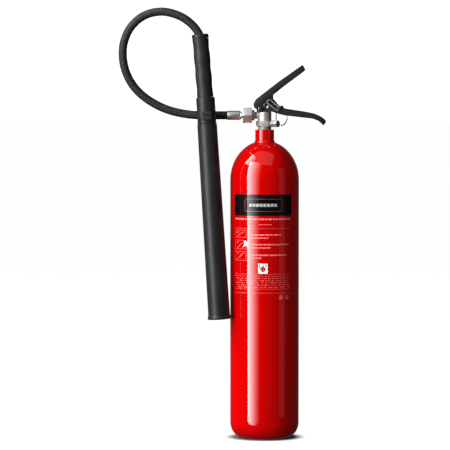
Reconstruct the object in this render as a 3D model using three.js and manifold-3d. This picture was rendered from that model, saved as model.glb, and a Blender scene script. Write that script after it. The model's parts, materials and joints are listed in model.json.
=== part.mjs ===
// Carbon dioxide fire extinguisher with a steel bottle, a squeeze-grip valve, a hose and a discharge horn.
// Millimetres, +Z up, the front faces -Y. The bottle's axis is Z, and it stands on z = 0.

import * as THREE from 'three';
import { mergeVertices } from 'three/addons/utils/BufferGeometryUtils.js';
import Module from 'manifold-3d';

const wasm = await Module();
wasm.setup();

// ---------------------------------------------------------------- driving dimensions

const GAP = 0.3;                    // clearance between pieces that touch
const CUT = 1;                      // how far a cutter runs past the face that it opens

// Bottle
const BOTTLE_RADIUS = 68;
const BOTTLE_HEIGHT = 610;          // floor to the top of the neck
const BOTTLE_WALL = 4.5;
const BASE_THICKNESS = 10;
const BASE_CORNER_WIDTH = 24;
const BASE_CORNER_HEIGHT = 30;
const SHOULDER_RISE = 78;           // semi-axis of the elliptical shoulder
const NECK_WALL = 6;
const NECK_LENGTH = 24.5;
const NECK_EDGE = 1.2;

// Label, wrapped round the front of the bottle
const LABEL_THICKNESS = 0.25;
const LABEL_HALF_ANGLE = 54.6;
const LABEL_CENTRE_ANGLE = -5.2;    // degrees from the front, negative toward -X
const LABEL_BELOW_SHOULDER = 26.3;
const LABEL_HEIGHT = 209.7;
const BAND_HEIGHT = 42;

// Valve body
const SHANK_RADIUS = 12.7;
const SHANK_IN_NECK = 28;
const SHANK_SHOWING = 6;
const COLLAR_STEP = 2.1;
const COLLAR_HEIGHT = 12;
const BARREL_STEP = 0.8;
const BARREL_HEIGHT = 17.5;
const OUTLET_BELOW_TOP = 7;
const BOSS_RADIUS = 7;
const BOSS_REACH = 20;
const SPUD_RADIUS = 10.4;
const SPUD_LENGTH = 12;
const PORT_RADIUS = 3;

// Valve internals
const STEM_RADIUS = 4;
const STEM_PIN_RADIUS = 2.2;
const GLAND_RADIUS = 8;
const GLAND_THREAD = 4;
const GLAND_FLATS = 17;
const GLAND_HEAD = 4;
const STEM_RING_WIRE = 0.8;
const CHAMBER_RADIUS = 7;
const CHAMBER_BELOW_PORT = 3.5;
const SEAT_RADIUS = 3.5;
const SEAT_THICKNESS = 3;
const LOWER_BORE_RADIUS = 7.5;
const POPPET_RADIUS = 6;
const POPPET_HEIGHT = 9;
const SPIGOT_RADIUS = 3.6;
const SPIGOT_LENGTH = 6;
const STEM_CHAMFER = 0.6;
const STEM_SHOULDER = 4.5;          // above the seat
const SEAL_THICKNESS = 2.3;
const SPRING_WIRE = 0.7;
const SPRING_LENGTH = 13;
const SPRING_TURNS = 4.5;
const RETAINER_HEIGHT = 5.2;
const ADAPTER_THREAD = 12;
const ADAPTER_FLATS = 18;
const ADAPTER_HEAD = 6;
const TUBE_RADIUS = 5;
const TUBE_WALL = 1;
const TUBE_STOP = 4;                // below the top of the adapter's thread
const TUBE_ABOVE_BASE = 12;

// Burst-disc plug in the valve collar
const RELIEF_ANGLE = -35;           // degrees from +X
const RELIEF_FLATS = 13;
const RELIEF_LENGTH = 17;
const RELIEF_SHANK_RADIUS = 5;
const RELIEF_SHANK_LENGTH = 3.2;
const RELIEF_PORT_RADIUS = 2;
const DISC_THICKNESS = 0.8;

// Carry handle and operating lever, folded from sheet; heights are above the valve's top
const SHEET = 2;
const WEB = 2.5;
const CHANNEL_HALF_WIDTH = 11.5;    // inside the carry handle
const PIVOT = new THREE.Vector2(-8.7, 6.1);
const PIVOT_RADIUS = 2.4;
const PIVOT_BOSS = 7;
const RIVET_HEAD_RADIUS = 4.6;
const RIVET_HEAD = 1.4;
const PIN_HOLE = new THREE.Vector2(24.2, 6.7);
const EAR_TIP = new THREE.Vector2(15.6, 20.6);
const EAR_RADIUS = 4.6;
const EAR_FOOT = new THREE.Vector2(29, 11.5);
const CHEEK_TOP = 6.9;
const SEAT_OVERHANG = 0.5;          // flat seat past the barrel
const HANDLE_REACH = 107;
const LEVER_BOSS = 5.2;
const HEEL = new THREE.Vector2(-17.6, 24.3);
const ROOT_LENGTH = 56.8;
const ROOT_ANGLE = 37.9;
const ARM_LENGTH = 58;
const ARM_ANGLE = 35;
const ROOT_DEPTH = 14;
const ARM_DEPTH = 12;
const STRIKER = new THREE.Vector2(1, 14.5);
const STRIKER_RADIUS = 3;

// Safety pin, pull ring and tamper seal
const PIN_RADIUS = 2;
const PIN_FRONT = 22;
const PIN_REAR = 23;
const PIN_BEND = 12.8;
const EYE_RADIUS = 4;
const EYE_WIRE = 1.6;
const RING_TURN = -50;              // degrees from +X of the ring's plane
const RING_RADIUS = 17;
const RING_WIRE = 1.1;
const SEAL_WIRE = 0.8;
const SEAL_HALF_WIDTH = 4;
const SEAL_LENGTH = 20;
const SEAL_ANGLE = 139;
const SEAL_SETBACK = 18.6;          // from the valve's axis to the front

// Hose coupling; distances run from the valve's axis toward -X
const WASHER_THICKNESS = 1.4;
const NUT_START = 25;
const NUT_LENGTH = 18;
const NUT_FLATS = 30;
const TAIL_FLANGE = 3;
const TAIL_FLANGE_RADIUS = 9.8;
const TAIL_RADIUS = 5.5;
const TAIL_SHOWING = 2;
const BARB_RADIUS = 4.5;
const BARB_LENGTH = 20.7;
const TAIL_BORE = 2.8;
const FERRULE_WALL = 0.8;
const FERRULE_LENGTH = 28.7;
const FERRULE_TAPER = 5;
const HOSE_SOCKET = 8;

// Hose
const HOSE_RADIUS = 8.2;
const HOSE_SIDES = 8;
const HOSE_STEPS = 66;

// Horn, its collar and its grip; heights run up the horn's axis from the mouth
const HORN_TILT = 3.6;              // degrees, leaning toward -X
const HORN_LENGTH = 386;
const HORN_MOUTH_RADIUS = 22.9;
const HORN_LIP = 6;
const HORN_BOTTOM_RADIUS = 21.5;
const HORN_TOP_RADIUS = 19.3;
const HORN_WALL = 2;
const HORN_SPIGOT_RADIUS = 16;
const HORN_SPIGOT = 14.5;
const HORN_TO_BOTTLE = 3.5;
const HORN_LIP_SLOPE = 1.5;
const COLLAR_RADIUS = 18.5;
const COLLAR_LENGTH = 51.7;
const COLLAR_CHAMFER = 1;
const NOZZLE_RADIUS = 11;
const NOZZLE_LENGTH = 19;
const NOZZLE_BORE = 1.6;
const NOZZLE_FLARE = 5;
const NOZZLE_RIM = 4;
const NOZZLE_ENTRY = 6;
const PIPE_RADIUS = 6;
const GRIP_EXTRA_TILT = 1.2;
const GRIP_WALL = 5.3;
const GRIP_WAVES = 3;
const GRIP_WAVE = 0.45;
const GRIP_LENGTH = 115.6;
const GRIP_CAP = 8;
const GRIP_CAP_STEP = 0.7;
const GRIP_CAP_CHAMFER = 2;
const GRIP_CAP_MOUTH = 3.5;
const END_FERRULE_WALL = 1.7;
const END_FERRULE_LENGTH = 34;
const END_FERRULE_START = 70;
const END_SOCKET = 14;

// Clip that holds the horn on the hose
const CLIP_HEIGHT = 16.3;           // above the collar's lower edge
const CLIP_BAND = 0.8;
const CLIP_BAND_WIDTH = 12;
const CLIP_WEB = 1.6;
const CLIP_WALL = 2.6;
const CLIP_LENGTH = 20;
const CLIP_BLOCK = 15;
const CLIP_MOUTH = 11;
const BUCKLE_WIDTH = 19;
const BUCKLE_HEIGHT = 16;
const BUCKLE_DEPTH = 2.6;
const BUCKLE_SLOT = 2.6;

// ---------------------------------------------------------------- places worked out from them

const NECK_RADIUS = SHANK_RADIUS + NECK_WALL;
const NECK_BOTTOM = BOTTLE_HEIGHT - NECK_LENGTH;
const SHOULDER_CENTRE = NECK_BOTTOM - SHOULDER_RISE * Math.sqrt(1 - (NECK_RADIUS / BOTTLE_RADIUS) ** 2);
const LABEL_TOP = SHOULDER_CENTRE - LABEL_BELOW_SHOULDER;
const LABEL_BOTTOM = LABEL_TOP - LABEL_HEIGHT;
const COLLAR_FLATS = 2 * (SHANK_RADIUS + COLLAR_STEP);
const BARREL_RADIUS = SHANK_RADIUS + BARREL_STEP;
const SEAT_END = BARREL_RADIUS + SEAT_OVERHANG;
const COLLAR_BOTTOM = BOTTLE_HEIGHT + SHANK_SHOWING;
const BARREL_BOTTOM = COLLAR_BOTTOM + COLLAR_HEIGHT;
const VALVE_TOP = BARREL_BOTTOM + BARREL_HEIGHT;
const SHANK_BOTTOM = BOTTLE_HEIGHT - SHANK_IN_NECK;
const OUTLET_Z = VALVE_TOP - OUTLET_BELOW_TOP;
const HANDLE_OUTER = CHANNEL_HALF_WIDTH + SHEET;
const LEVER_INNER = HANDLE_OUTER + GAP;
const LEVER_OUTER = LEVER_INNER + SHEET;
const SEAT_TOP = OUTLET_Z - PORT_RADIUS - CHAMBER_BELOW_PORT;
const SEAT_BOTTOM = SEAT_TOP - SEAT_THICKNESS;
const POPPET_TOP = SEAT_BOTTOM - SEAL_THICKNESS - 2 * GAP;
const POPPET_BOTTOM = POPPET_TOP - POPPET_HEIGHT;
const SPRING_TOP = POPPET_BOTTOM - GAP;
const SPRING_BOTTOM = SPRING_TOP - SPRING_LENGTH;
const RETAINER_TOP = SPRING_BOTTOM - GAP;
const GLAND_BOTTOM = VALVE_TOP - GLAND_THREAD;
const GLAND_HEAD_BOTTOM = VALVE_TOP + WEB + 2 * GAP;
const STEM_TOP = VALVE_TOP + STRIKER.y - STRIKER_RADIUS - GAP;
const BAND_OUTER = COLLAR_RADIUS + GAP + CLIP_BAND;
const HORN_Y = -(HOSE_RADIUS + GAP + CLIP_WEB + GAP + BAND_OUTER);
const HORN_X = -Math.sqrt((BOTTLE_RADIUS + HORN_MOUTH_RADIUS + HORN_TO_BOTTLE) ** 2 - HORN_Y ** 2);
const CLIP_CENTRE = HORN_LENGTH + CLIP_HEIGHT;
const HORN_Z = OUTLET_Z - CLIP_CENTRE * Math.cos(THREE.MathUtils.degToRad(HORN_TILT));
const CLIP_X = HORN_X - CLIP_CENTRE * Math.sin(THREE.MathUtils.degToRad(HORN_TILT));
const FERRULE_RADIUS = HOSE_RADIUS + GAP + FERRULE_WALL;
const END_FERRULE_RADIUS = HOSE_RADIUS + GAP + END_FERRULE_WALL;
const GRIP_RADIUS = END_FERRULE_RADIUS + GAP + GRIP_WALL;
const GRIP_CAP_RADIUS = GRIP_RADIUS + GRIP_CAP_STEP;
const SPUD_END = BOSS_REACH + SPUD_LENGTH;
const FLANGE_START = SPUD_END + WASHER_THICKNESS + 2 * GAP;
const NUT_SHOULDER = FLANGE_START + TAIL_FLANGE + GAP;
const TAIL_END = NUT_START + NUT_LENGTH + TAIL_SHOWING;
const FERRULE_START = TAIL_END + GAP;
const FERRULE_END = FERRULE_START + FERRULE_LENGTH;
const HOSE_START = FERRULE_END - HOSE_SOCKET + GAP;

// The hose's route, from the outlet's centre on the valve's axis: chosen by hand.
const HOSE_ROUTE = [
  [-HOSE_START, 0, 0], [-85.3, 0, 0], [-104.38, 0, 0], [-126.967, 0, 0], [-149.967, 0, 1.7],
  [-176.967, 0, 6.7], [-201.967, -0.51, 15], [-226.467, -1.5, 28.1], [-246.467, -3.51, 43.6],
  [-262.367, -6, 62.4], [-273.567, -9, 84.8], [-279.567, -12.51, 111.5], [-277.967, -15.99, 142],
  [-264.267, -20.01, 173.1], [-237.167, -24, 196.4], [-201.167, -27.51, 204], [-166.467, -29.49, 195],
  [-146.967, -30, 182], [-135.967, -30, 170.5], [-129.567, -30, 160.5], [-126.725, -30, 151.42],
  [-125.73, -30, 139.56], [-124.583, -30, 125.91],
];

// ---------------------------------------------------------------- materials

function finish(color, roughness, metalness) {
  return new THREE.MeshStandardMaterial({ color, roughness, metalness });
}

const redPaint = finish(0xc80808, 0.25, 0.0);
const blackPrint = finish(0x141414, 0.4, 0.0);
const labelPrint = finish(0xb01010, 0.4, 0.0);
const nickel = finish(0xb4afa8, 0.35, 1.0);
const steel = finish(0xa8a8aa, 0.35, 1.0);
const brass = finish(0xb89b58, 0.35, 1.0);
const blackPaint = finish(0x26282a, 0.5, 0.2);
const blackPlastic = finish(0x1a1b1d, 0.45, 0.0);
const blackRubber = finish(0x1c1c1e, 0.7, 0.0);
const sealRubber = finish(0x2a2a2a, 0.8, 0.0);
const paleNylon = finish(0xc9ccc6, 0.5, 0.0);

// ---------------------------------------------------------------- shape helpers

const rad = THREE.MathUtils.degToRad;

function solid(geometry) {
  const bare = geometry.clone();
  bare.deleteAttribute('normal');
  bare.deleteAttribute('uv');
  const merged = mergeVertices(bare, 1e-4);
  const index = merged.index.array;
  const triVerts = [];
  for (let i = 0; i < index.length; i += 3) {
    const [a, b, c] = index.slice(i, i + 3);
    if (a !== b && b !== c && c !== a) triVerts.push(a, b, c);
  }
  return new wasm.Manifold(new wasm.Mesh({
    numProp: 3,
    vertProperties: new Float32Array(merged.attributes.position.array),
    triVerts: new Uint32Array(triVerts),
  }));
}

function surface(manifold) {
  const mesh = manifold.getMesh();
  const geometry = new THREE.BufferGeometry();
  geometry.setAttribute('position', new THREE.BufferAttribute(new Float32Array(mesh.vertProperties), 3));
  geometry.setIndex(new THREE.BufferAttribute(new Uint32Array(mesh.triVerts), 1));
  geometry.computeVertexNormals();
  return geometry;
}

// Spins a closed profile of [radius, height] points about Z. The profile runs up its outer side.
function spin(profile, segments = 32) {
  const points = [...profile, profile[0]].map(([r, h]) => new THREE.Vector2(r, h));
  return new THREE.LatheGeometry(points, segments).rotateX(Math.PI / 2);
}

// The same, with the heights running toward -X at the outlet's height.
function spinOutlet(profile, segments = 32) {
  return spin(profile, segments).rotateY(-Math.PI / 2).translate(0, 0, OUTLET_Z);
}

function ring(inner, outer, bottom, top, segments = 32) {
  return spin([[inner, bottom], [outer, bottom], [outer, top], [inner, top]], segments);
}

function rod(radius, bottom, top, segments = 32) {
  return spin([[0, bottom], [radius, bottom], [radius, top], [0, top]], segments);
}

// A rod along Y at an [x, height] place above the valve's top.
function crossRod(radius, place, from, to, segments = 24) {
  return rod(radius, from, to, segments).rotateX(-Math.PI / 2).translate(place.x, 0, VALVE_TOP + place.y);
}

// A hexagonal prism along Z with its corners turned down at both ends.
function hexagon(flats, bottom, top, turn = 0) {
  const corner = flats / Math.sqrt(3);
  const bevel = corner - flats / 2;
  const prism = new THREE.CylinderGeometry(corner, corner, top - bottom, 6);
  prism.rotateX(Math.PI / 2).rotateZ(turn).translate(0, 0, (bottom + top) / 2);
  const turned = spin([
    [0, bottom], [flats / 2, bottom], [corner, bottom + bevel / 2],
    [corner, top - bevel / 2], [flats / 2, top], [0, top],
  ], 36);
  return solid(prism).intersect(solid(turned));
}

// Points along an arc of an ellipse, in degrees from its +radius axis.
function arc(centreR, centreH, radiusR, radiusH, from, to, steps) {
  return Array.from({ length: steps + 1 }, (_, i) => {
    const angle = rad(from + (to - from) * i / steps);
    return [centreR + radiusR * Math.cos(angle), centreH + radiusH * Math.sin(angle)];
  });
}

// A slab with a side outline of [x, height] points above the valve's top, centred on y = 0.
function slab(outline, halfWidth) {
  const shape = new THREE.Shape(outline.map(([x, h]) => new THREE.Vector2(x, h)));
  const options = { depth: 2 * halfWidth, bevelEnabled: false };
  return new THREE.ExtrudeGeometry(shape, options).rotateX(Math.PI / 2).translate(0, halfWidth, VALVE_TOP);
}

// Moves an open path of points sideways, to its left for a positive distance.
function offsetPath(path, distance) {
  const points = path.map(([x, h]) => new THREE.Vector2(x, h));
  const normals = points.slice(1).map((point, i) => {
    const along = point.clone().sub(points[i]).normalize();
    return new THREE.Vector2(-along.y, along.x);
  });
  return points.map((point, i) => {
    const before = normals[Math.max(i - 1, 0)];
    const after = normals[Math.min(i, normals.length - 1)];
    const mitre = before.clone().add(after).multiplyScalar(distance / (1 + before.dot(after)));
    return [point.x + mitre.x, point.y + mitre.y];
  });
}

// A round bar along a curve.
function bar(curve, radius, sides, steps) {
  const section = new THREE.Shape(arc(0, 0, radius, radius, 0, 360 - 360 / sides, sides - 1)
    .map(([x, y]) => new THREE.Vector2(x, y)));
  return new THREE.ExtrudeGeometry(section, { steps, extrudePath: curve, bevelEnabled: false });
}

const extinguisher = new THREE.Group();

function add(name, geometry, material, parent = extinguisher) {
  const mesh = new THREE.Mesh(geometry, material);
  mesh.name = name;
  parent.add(mesh);
}

// ---------------------------------------------------------------- bottle and label

function ellipseAngle(radius, semiAxis) {
  return THREE.MathUtils.radToDeg(Math.acos(radius / semiAxis));
}

function bottleShell() {
  const bore = SHANK_RADIUS + GAP;
  const inside = BOTTLE_RADIUS - BOTTLE_WALL;
  const insideRise = SHOULDER_RISE - BOTTLE_WALL;
  const insideCorner = BASE_CORNER_WIDTH - BOTTLE_WALL;
  const insideCornerHeight = BASE_CORNER_HEIGHT - BOTTLE_WALL;
  const outer = [
    [0, 0],
    ...arc(BOTTLE_RADIUS - BASE_CORNER_WIDTH, BASE_CORNER_HEIGHT, BASE_CORNER_WIDTH, BASE_CORNER_HEIGHT, -90, 0, 6),
    ...arc(0, SHOULDER_CENTRE, BOTTLE_RADIUS, SHOULDER_RISE, 0, ellipseAngle(NECK_RADIUS, BOTTLE_RADIUS), 10),
    [NECK_RADIUS, BOTTLE_HEIGHT - NECK_EDGE],
    [NECK_RADIUS - NECK_EDGE, BOTTLE_HEIGHT],
  ];
  const inner = [
    [bore, BOTTLE_HEIGHT],
    ...arc(0, SHOULDER_CENTRE, inside, insideRise, ellipseAngle(bore, inside), 0, 6),
    ...arc(inside - insideCorner, BASE_THICKNESS + insideCornerHeight, insideCorner, insideCornerHeight, 0, -90, 4),
    [0, BASE_THICKNESS],
  ];
  return surface(solid(spin([...outer, ...inner], 56)));
}

// A sheet that follows the bottle's front between two heights.
function wrap(bottom, top) {
  const inner = BOTTLE_RADIUS + GAP;
  const outer = inner + LABEL_THICKNESS;
  const steps = 28;
  const from = -90 + LABEL_CENTRE_ANGLE - LABEL_HALF_ANGLE;
  const to = -90 + LABEL_CENTRE_ANGLE + LABEL_HALF_ANGLE;
  const outline = [...arc(0, 0, outer, outer, from, to, steps), ...arc(0, 0, inner, inner, to, from, steps)];
  const shape = new THREE.Shape(outline.map(([x, y]) => new THREE.Vector2(x, y)));
  return new THREE.ExtrudeGeometry(shape, { depth: top - bottom, bevelEnabled: false }).translate(0, 0, bottom);
}

add('cylinder_shell', bottleShell(), redPaint);
add('label_band', wrap(LABEL_TOP - BAND_HEIGHT, LABEL_TOP), blackPrint);
add('label_sheet', wrap(LABEL_BOTTOM, LABEL_TOP - BAND_HEIGHT - GAP), labelPrint);

// ---------------------------------------------------------------- valve body and internals

const reliefHeight = COLLAR_BOTTOM + COLLAR_HEIGHT / 2;
const discStart = LOWER_BORE_RADIUS + 2 * GAP + RELIEF_PORT_RADIUS;
const reliefShankStart = discStart + DISC_THICKNESS + GAP;
const reliefHeadStart = COLLAR_FLATS / 2 + GAP;

// Points a shape built along Z outward through the relief port.
function alongRelief(geometry) {
  return geometry.rotateY(Math.PI / 2).rotateZ(rad(RELIEF_ANGLE)).translate(0, 0, reliefHeight);
}

function valveBody() {
  const collarTurn = rad(RELIEF_ANGLE + 30);
  const flatFacingPlug = hexagon(COLLAR_FLATS, COLLAR_BOTTOM, BARREL_BOTTOM, collarTurn + Math.PI / 2);
  const passage = spin([
    [0, SHANK_BOTTOM - CUT], [LOWER_BORE_RADIUS, SHANK_BOTTOM - CUT], [LOWER_BORE_RADIUS, SEAT_BOTTOM],
    [SEAT_RADIUS, SEAT_BOTTOM], [SEAT_RADIUS, SEAT_TOP], [CHAMBER_RADIUS, SEAT_TOP],
    [CHAMBER_RADIUS, GLAND_BOTTOM - GAP], [GLAND_RADIUS + GAP, GLAND_BOTTOM - GAP],
    [GLAND_RADIUS + GAP, VALVE_TOP + CUT], [0, VALVE_TOP + CUT],
  ]);
  const reliefPort = spin([
    [0, 0], [RELIEF_PORT_RADIUS, 0], [RELIEF_PORT_RADIUS, discStart - GAP],
    [RELIEF_SHANK_RADIUS + GAP, discStart - GAP], [RELIEF_SHANK_RADIUS + GAP, COLLAR_FLATS], [0, COLLAR_FLATS],
  ], 24);
  return solid(rod(SHANK_RADIUS, SHANK_BOTTOM, COLLAR_BOTTOM + CUT))
    .add(flatFacingPlug)
    .add(solid(rod(BARREL_RADIUS, BARREL_BOTTOM - CUT, VALVE_TOP)))
    .add(solid(spinOutlet([[0, 0], [BOSS_RADIUS, 0], [BOSS_RADIUS, BOSS_REACH + CUT], [0, BOSS_REACH + CUT]])))
    .add(solid(spinOutlet([[0, BOSS_REACH], [SPUD_RADIUS, BOSS_REACH], [SPUD_RADIUS, SPUD_END], [0, SPUD_END]])))
    .subtract(solid(passage))
    .subtract(solid(spinOutlet([[0, 0], [PORT_RADIUS, 0], [PORT_RADIUS, SPUD_END + CUT], [0, SPUD_END + CUT]])))
    .subtract(solid(alongRelief(reliefPort)));
}

function glandNut() {
  const groove = STEM_RING_WIRE + GAP;
  const ringHeight = (GLAND_BOTTOM + VALVE_TOP + WEB) / 2;
  const passage = spin([
    [0, GLAND_BOTTOM - CUT], [STEM_RADIUS + GAP, GLAND_BOTTOM - CUT], [STEM_RADIUS + GAP, ringHeight - groove],
    [STEM_RADIUS + 2 * groove, ringHeight - groove], [STEM_RADIUS + 2 * groove, ringHeight + groove],
    [STEM_RADIUS + GAP, ringHeight + groove], [STEM_RADIUS + GAP, VALVE_TOP + 2 * STRIKER.y],
    [0, VALVE_TOP + 2 * STRIKER.y],
  ]);
  add('stem_o_ring', new THREE.TorusGeometry(STEM_RADIUS + GAP + STEM_RING_WIRE, STEM_RING_WIRE, 8, 24)
    .translate(0, 0, ringHeight), sealRubber);
  return solid(rod(GLAND_RADIUS, GLAND_BOTTOM, GLAND_HEAD_BOTTOM + CUT))
    .add(hexagon(GLAND_FLATS, GLAND_HEAD_BOTTOM, GLAND_HEAD_BOTTOM + GLAND_HEAD, Math.PI / 6))
    .subtract(solid(passage));
}

function valveStem() {
  const shoulder = SEAT_TOP + STEM_SHOULDER;
  return spin([
    [0, POPPET_TOP + GAP], [STEM_PIN_RADIUS, POPPET_TOP + GAP], [STEM_PIN_RADIUS, shoulder],
    [STEM_RADIUS, shoulder], [STEM_RADIUS, STEM_TOP - STEM_CHAMFER],
    [STEM_RADIUS - STEM_CHAMFER, STEM_TOP], [0, STEM_TOP],
  ], 32);
}

function stemSpring() {
  const coilRadius = POPPET_RADIUS - SPRING_WIRE;
  const rise = SPRING_LENGTH - 2 * SPRING_WIRE;
  class Helix extends THREE.Curve {
    getPoint(t) {
      const angle = 2 * Math.PI * SPRING_TURNS * t;
      const height = SPRING_BOTTOM + SPRING_WIRE + rise * t;
      return new THREE.Vector3(coilRadius * Math.cos(angle), coilRadius * Math.sin(angle), height);
    }
  }
  return bar(new Helix(), SPRING_WIRE, 5, 14 * SPRING_TURNS);
}

function reliefPlug() {
  const headEnd = reliefHeadStart + RELIEF_LENGTH;
  const shankEnd = reliefShankStart + RELIEF_SHANK_LENGTH;
  const plug = solid(rod(RELIEF_SHANK_RADIUS, reliefShankStart, Math.max(shankEnd, reliefHeadStart + CUT), 24))
    .add(hexagon(RELIEF_FLATS, reliefHeadStart, headEnd))
    .subtract(solid(rod(RELIEF_PORT_RADIUS, 0, headEnd + CUT, 24)));
  return alongRelief(surface(plug));
}

function dipTubeAdapter() {
  const top = SHANK_BOTTOM - GAP + ADAPTER_THREAD;
  const head = SHANK_BOTTOM - GAP - ADAPTER_HEAD;
  const socket = spin([
    [0, head - CUT], [TUBE_RADIUS + GAP, head - CUT], [TUBE_RADIUS + GAP, top - TUBE_STOP],
    [TUBE_RADIUS - TUBE_WALL, top - TUBE_STOP], [TUBE_RADIUS - TUBE_WALL, top + CUT], [0, top + CUT],
  ]);
  return solid(rod(LOWER_BORE_RADIUS - GAP, head + CUT, top))
    .add(hexagon(ADAPTER_FLATS, head, SHANK_BOTTOM - GAP))
    .subtract(solid(socket));
}

add('valve_body', surface(valveBody()), nickel);
add('gland_nut', surface(glandNut()), nickel);
add('valve_stem', valveStem(), steel);
add('poppet_seal', ring(STEM_PIN_RADIUS + GAP, POPPET_RADIUS - GAP, POPPET_TOP + GAP, SEAT_BOTTOM - GAP, 32), sealRubber);
add('valve_poppet', spin([
  [0, POPPET_BOTTOM - SPIGOT_LENGTH], [SPIGOT_RADIUS, POPPET_BOTTOM - SPIGOT_LENGTH],
  [SPIGOT_RADIUS, POPPET_BOTTOM], [POPPET_RADIUS, POPPET_BOTTOM], [POPPET_RADIUS, POPPET_TOP], [0, POPPET_TOP],
], 32), brass);
add('stem_spring', stemSpring(), steel);
add('spring_retainer', ring(TAIL_BORE, LOWER_BORE_RADIUS - GAP, RETAINER_TOP - RETAINER_HEIGHT, RETAINER_TOP), brass);
add('dip_tube_adapter', surface(dipTubeAdapter()), brass);
add('dip_tube', ring(
  TUBE_RADIUS - TUBE_WALL, TUBE_RADIUS,
  BASE_THICKNESS + TUBE_ABOVE_BASE, SHANK_BOTTOM - GAP + ADAPTER_THREAD - TUBE_STOP - GAP, 24,
), steel);
add('relief_plug', reliefPlug(), nickel);
add('burst_disc', alongRelief(rod(RELIEF_SHANK_RADIUS - GAP, discStart, discStart + DISC_THICKNESS, 24)), steel);

// ---------------------------------------------------------------- carry handle and operating lever

// A point along the carry handle's arm: the share of its reach, and its height.
function reach(share, height) {
  return [SEAT_END + share * HANDLE_REACH, height];
}

function carryHandle() {
  const underside = [
    [PIVOT.x - PIVOT_BOSS, GAP], [SEAT_END, GAP],
    reach(0.13, -4.4), reach(0.25, -7.4), reach(0.36, -8.8), reach(0.75, -13.5), reach(0.865, -18.1), reach(0.957, -26.6),
  ];
  const tip = [reach(0.994, -21.2), reach(1, -18.1), reach(0.966, -13.5), reach(0.881, -7.6)];
  const outline = [
    ...underside, ...tip, reach(0.78, -3.2), reach(0.575, 1.2), reach(0.41, 3.6), reach(0.27, 6),
    [EAR_FOOT.x, EAR_FOOT.y],
    ...arc(EAR_TIP.x, EAR_TIP.y, EAR_RADIUS, EAR_RADIUS, 38, 165, 6),
    [EAR_TIP.x - 2 * EAR_RADIUS, CHEEK_TOP + EAR_RADIUS / 2], [EAR_TIP.x - 2 * EAR_RADIUS, CHEEK_TOP],
    ...arc(PIVOT.x, PIVOT.y, PIVOT_BOSS, PIVOT_BOSS, 10, 180, 10),
  ];
  const floor = offsetPath([[PIVOT.x - 2 * PIVOT_BOSS, GAP], ...underside.slice(1), ...tip.slice(0, 2)], WEB);
  const hollow = [...floor, [floor.at(-1)[0], 2 * EAR_TIP.y], [floor[0][0], 2 * EAR_TIP.y]];
  return solid(slab(outline, HANDLE_OUTER))
    .subtract(solid(slab(hollow, CHANNEL_HALF_WIDTH)))
    .subtract(solid(rod(GLAND_RADIUS + GAP, VALVE_TOP - CUT, VALVE_TOP + WEB + CUT)))
    .subtract(solid(crossRod(PIVOT_RADIUS + GAP, PIVOT, -LEVER_OUTER, LEVER_OUTER)))
    .subtract(solid(crossRod(PIN_RADIUS + GAP, PIN_HOLE, -LEVER_OUTER, LEVER_OUTER)));
}

function step(from, length, angle) {
  return [from[0] + length * Math.cos(rad(angle)), from[1] + length * Math.sin(rad(angle))];
}

function operatingLever() {
  const heel = [HEEL.x, HEEL.y];
  const bend = step(heel, ROOT_LENGTH, ROOT_ANGLE);
  const tip = step(bend, ARM_LENGTH, ARM_ANGLE);
  const back = [[PIVOT.x - 11.9, PIVOT.y + 1.6], [PIVOT.x - 13.5, PIVOT.y + 9.1], heel, bend, tip,
    step(tip, ARM_DEPTH * 0.42, ARM_ANGLE - 90)];
  const throat = step(bend, ROOT_DEPTH, ROOT_ANGLE - 90);
  const outline = [
    ...back, step(tip, ARM_DEPTH, ARM_ANGLE - 97), step(bend, ARM_DEPTH + 2, (ROOT_ANGLE + ARM_ANGLE) / 2 - 75),
    step(throat, ROOT_LENGTH * 0.42, ROOT_ANGLE + 180), [STRIKER.x + 16, STRIKER.y + 7.6],
    ...arc(PIVOT.x, PIVOT.y, LEVER_BOSS, LEVER_BOSS, -45, -150, 6),
  ];
  const roof = offsetPath([[PIVOT.x - 8, PIVOT.y - 2 * PIVOT_BOSS], ...back], -SHEET);
  const hollow = [...roof, [roof.at(-1)[0], PIVOT.y - 3 * PIVOT_BOSS]];
  return solid(slab(outline.reverse(), LEVER_OUTER))
    .subtract(solid(slab(hollow.reverse(), LEVER_INNER)))
    .subtract(solid(crossRod(PIVOT_RADIUS + GAP, PIVOT, -2 * LEVER_OUTER, 2 * LEVER_OUTER)))
    .subtract(solid(crossRod(STRIKER_RADIUS + GAP, STRIKER, -2 * LEVER_OUTER, 2 * LEVER_OUTER)));
}

// One short rivet through a cheek of the handle and a cheek of the lever; side is -1 for the front.
function pivotRivet(side) {
  const inner = CHANNEL_HALF_WIDTH - GAP;
  const outer = LEVER_OUTER + GAP;
  const head = RIVET_HEAD_RADIUS;
  const tail = PIVOT.y - WEB - 2 * GAP;
  const profile = spin([
    [0, inner - RIVET_HEAD], [tail, inner - RIVET_HEAD], [tail, inner], [PIVOT_RADIUS, inner],
    [PIVOT_RADIUS, outer], [head, outer], [head * 0.8, outer + RIVET_HEAD], [0, outer + RIVET_HEAD],
  ], 24);
  return profile.rotateX(side * -Math.PI / 2).translate(PIVOT.x, 0, VALVE_TOP + PIVOT.y);
}

add('carry_handle', surface(carryHandle()), blackPaint);
add('operating_lever', surface(operatingLever()), blackPaint);
add('striker_pin', crossRod(STRIKER_RADIUS, STRIKER, -LEVER_OUTER, LEVER_OUTER), steel);
add('pivot_rivet_front', pivotRivet(-1), steel);
add('pivot_rivet_rear', pivotRivet(1), steel);

// ---------------------------------------------------------------- safety pin, pull ring and tamper seal

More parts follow.
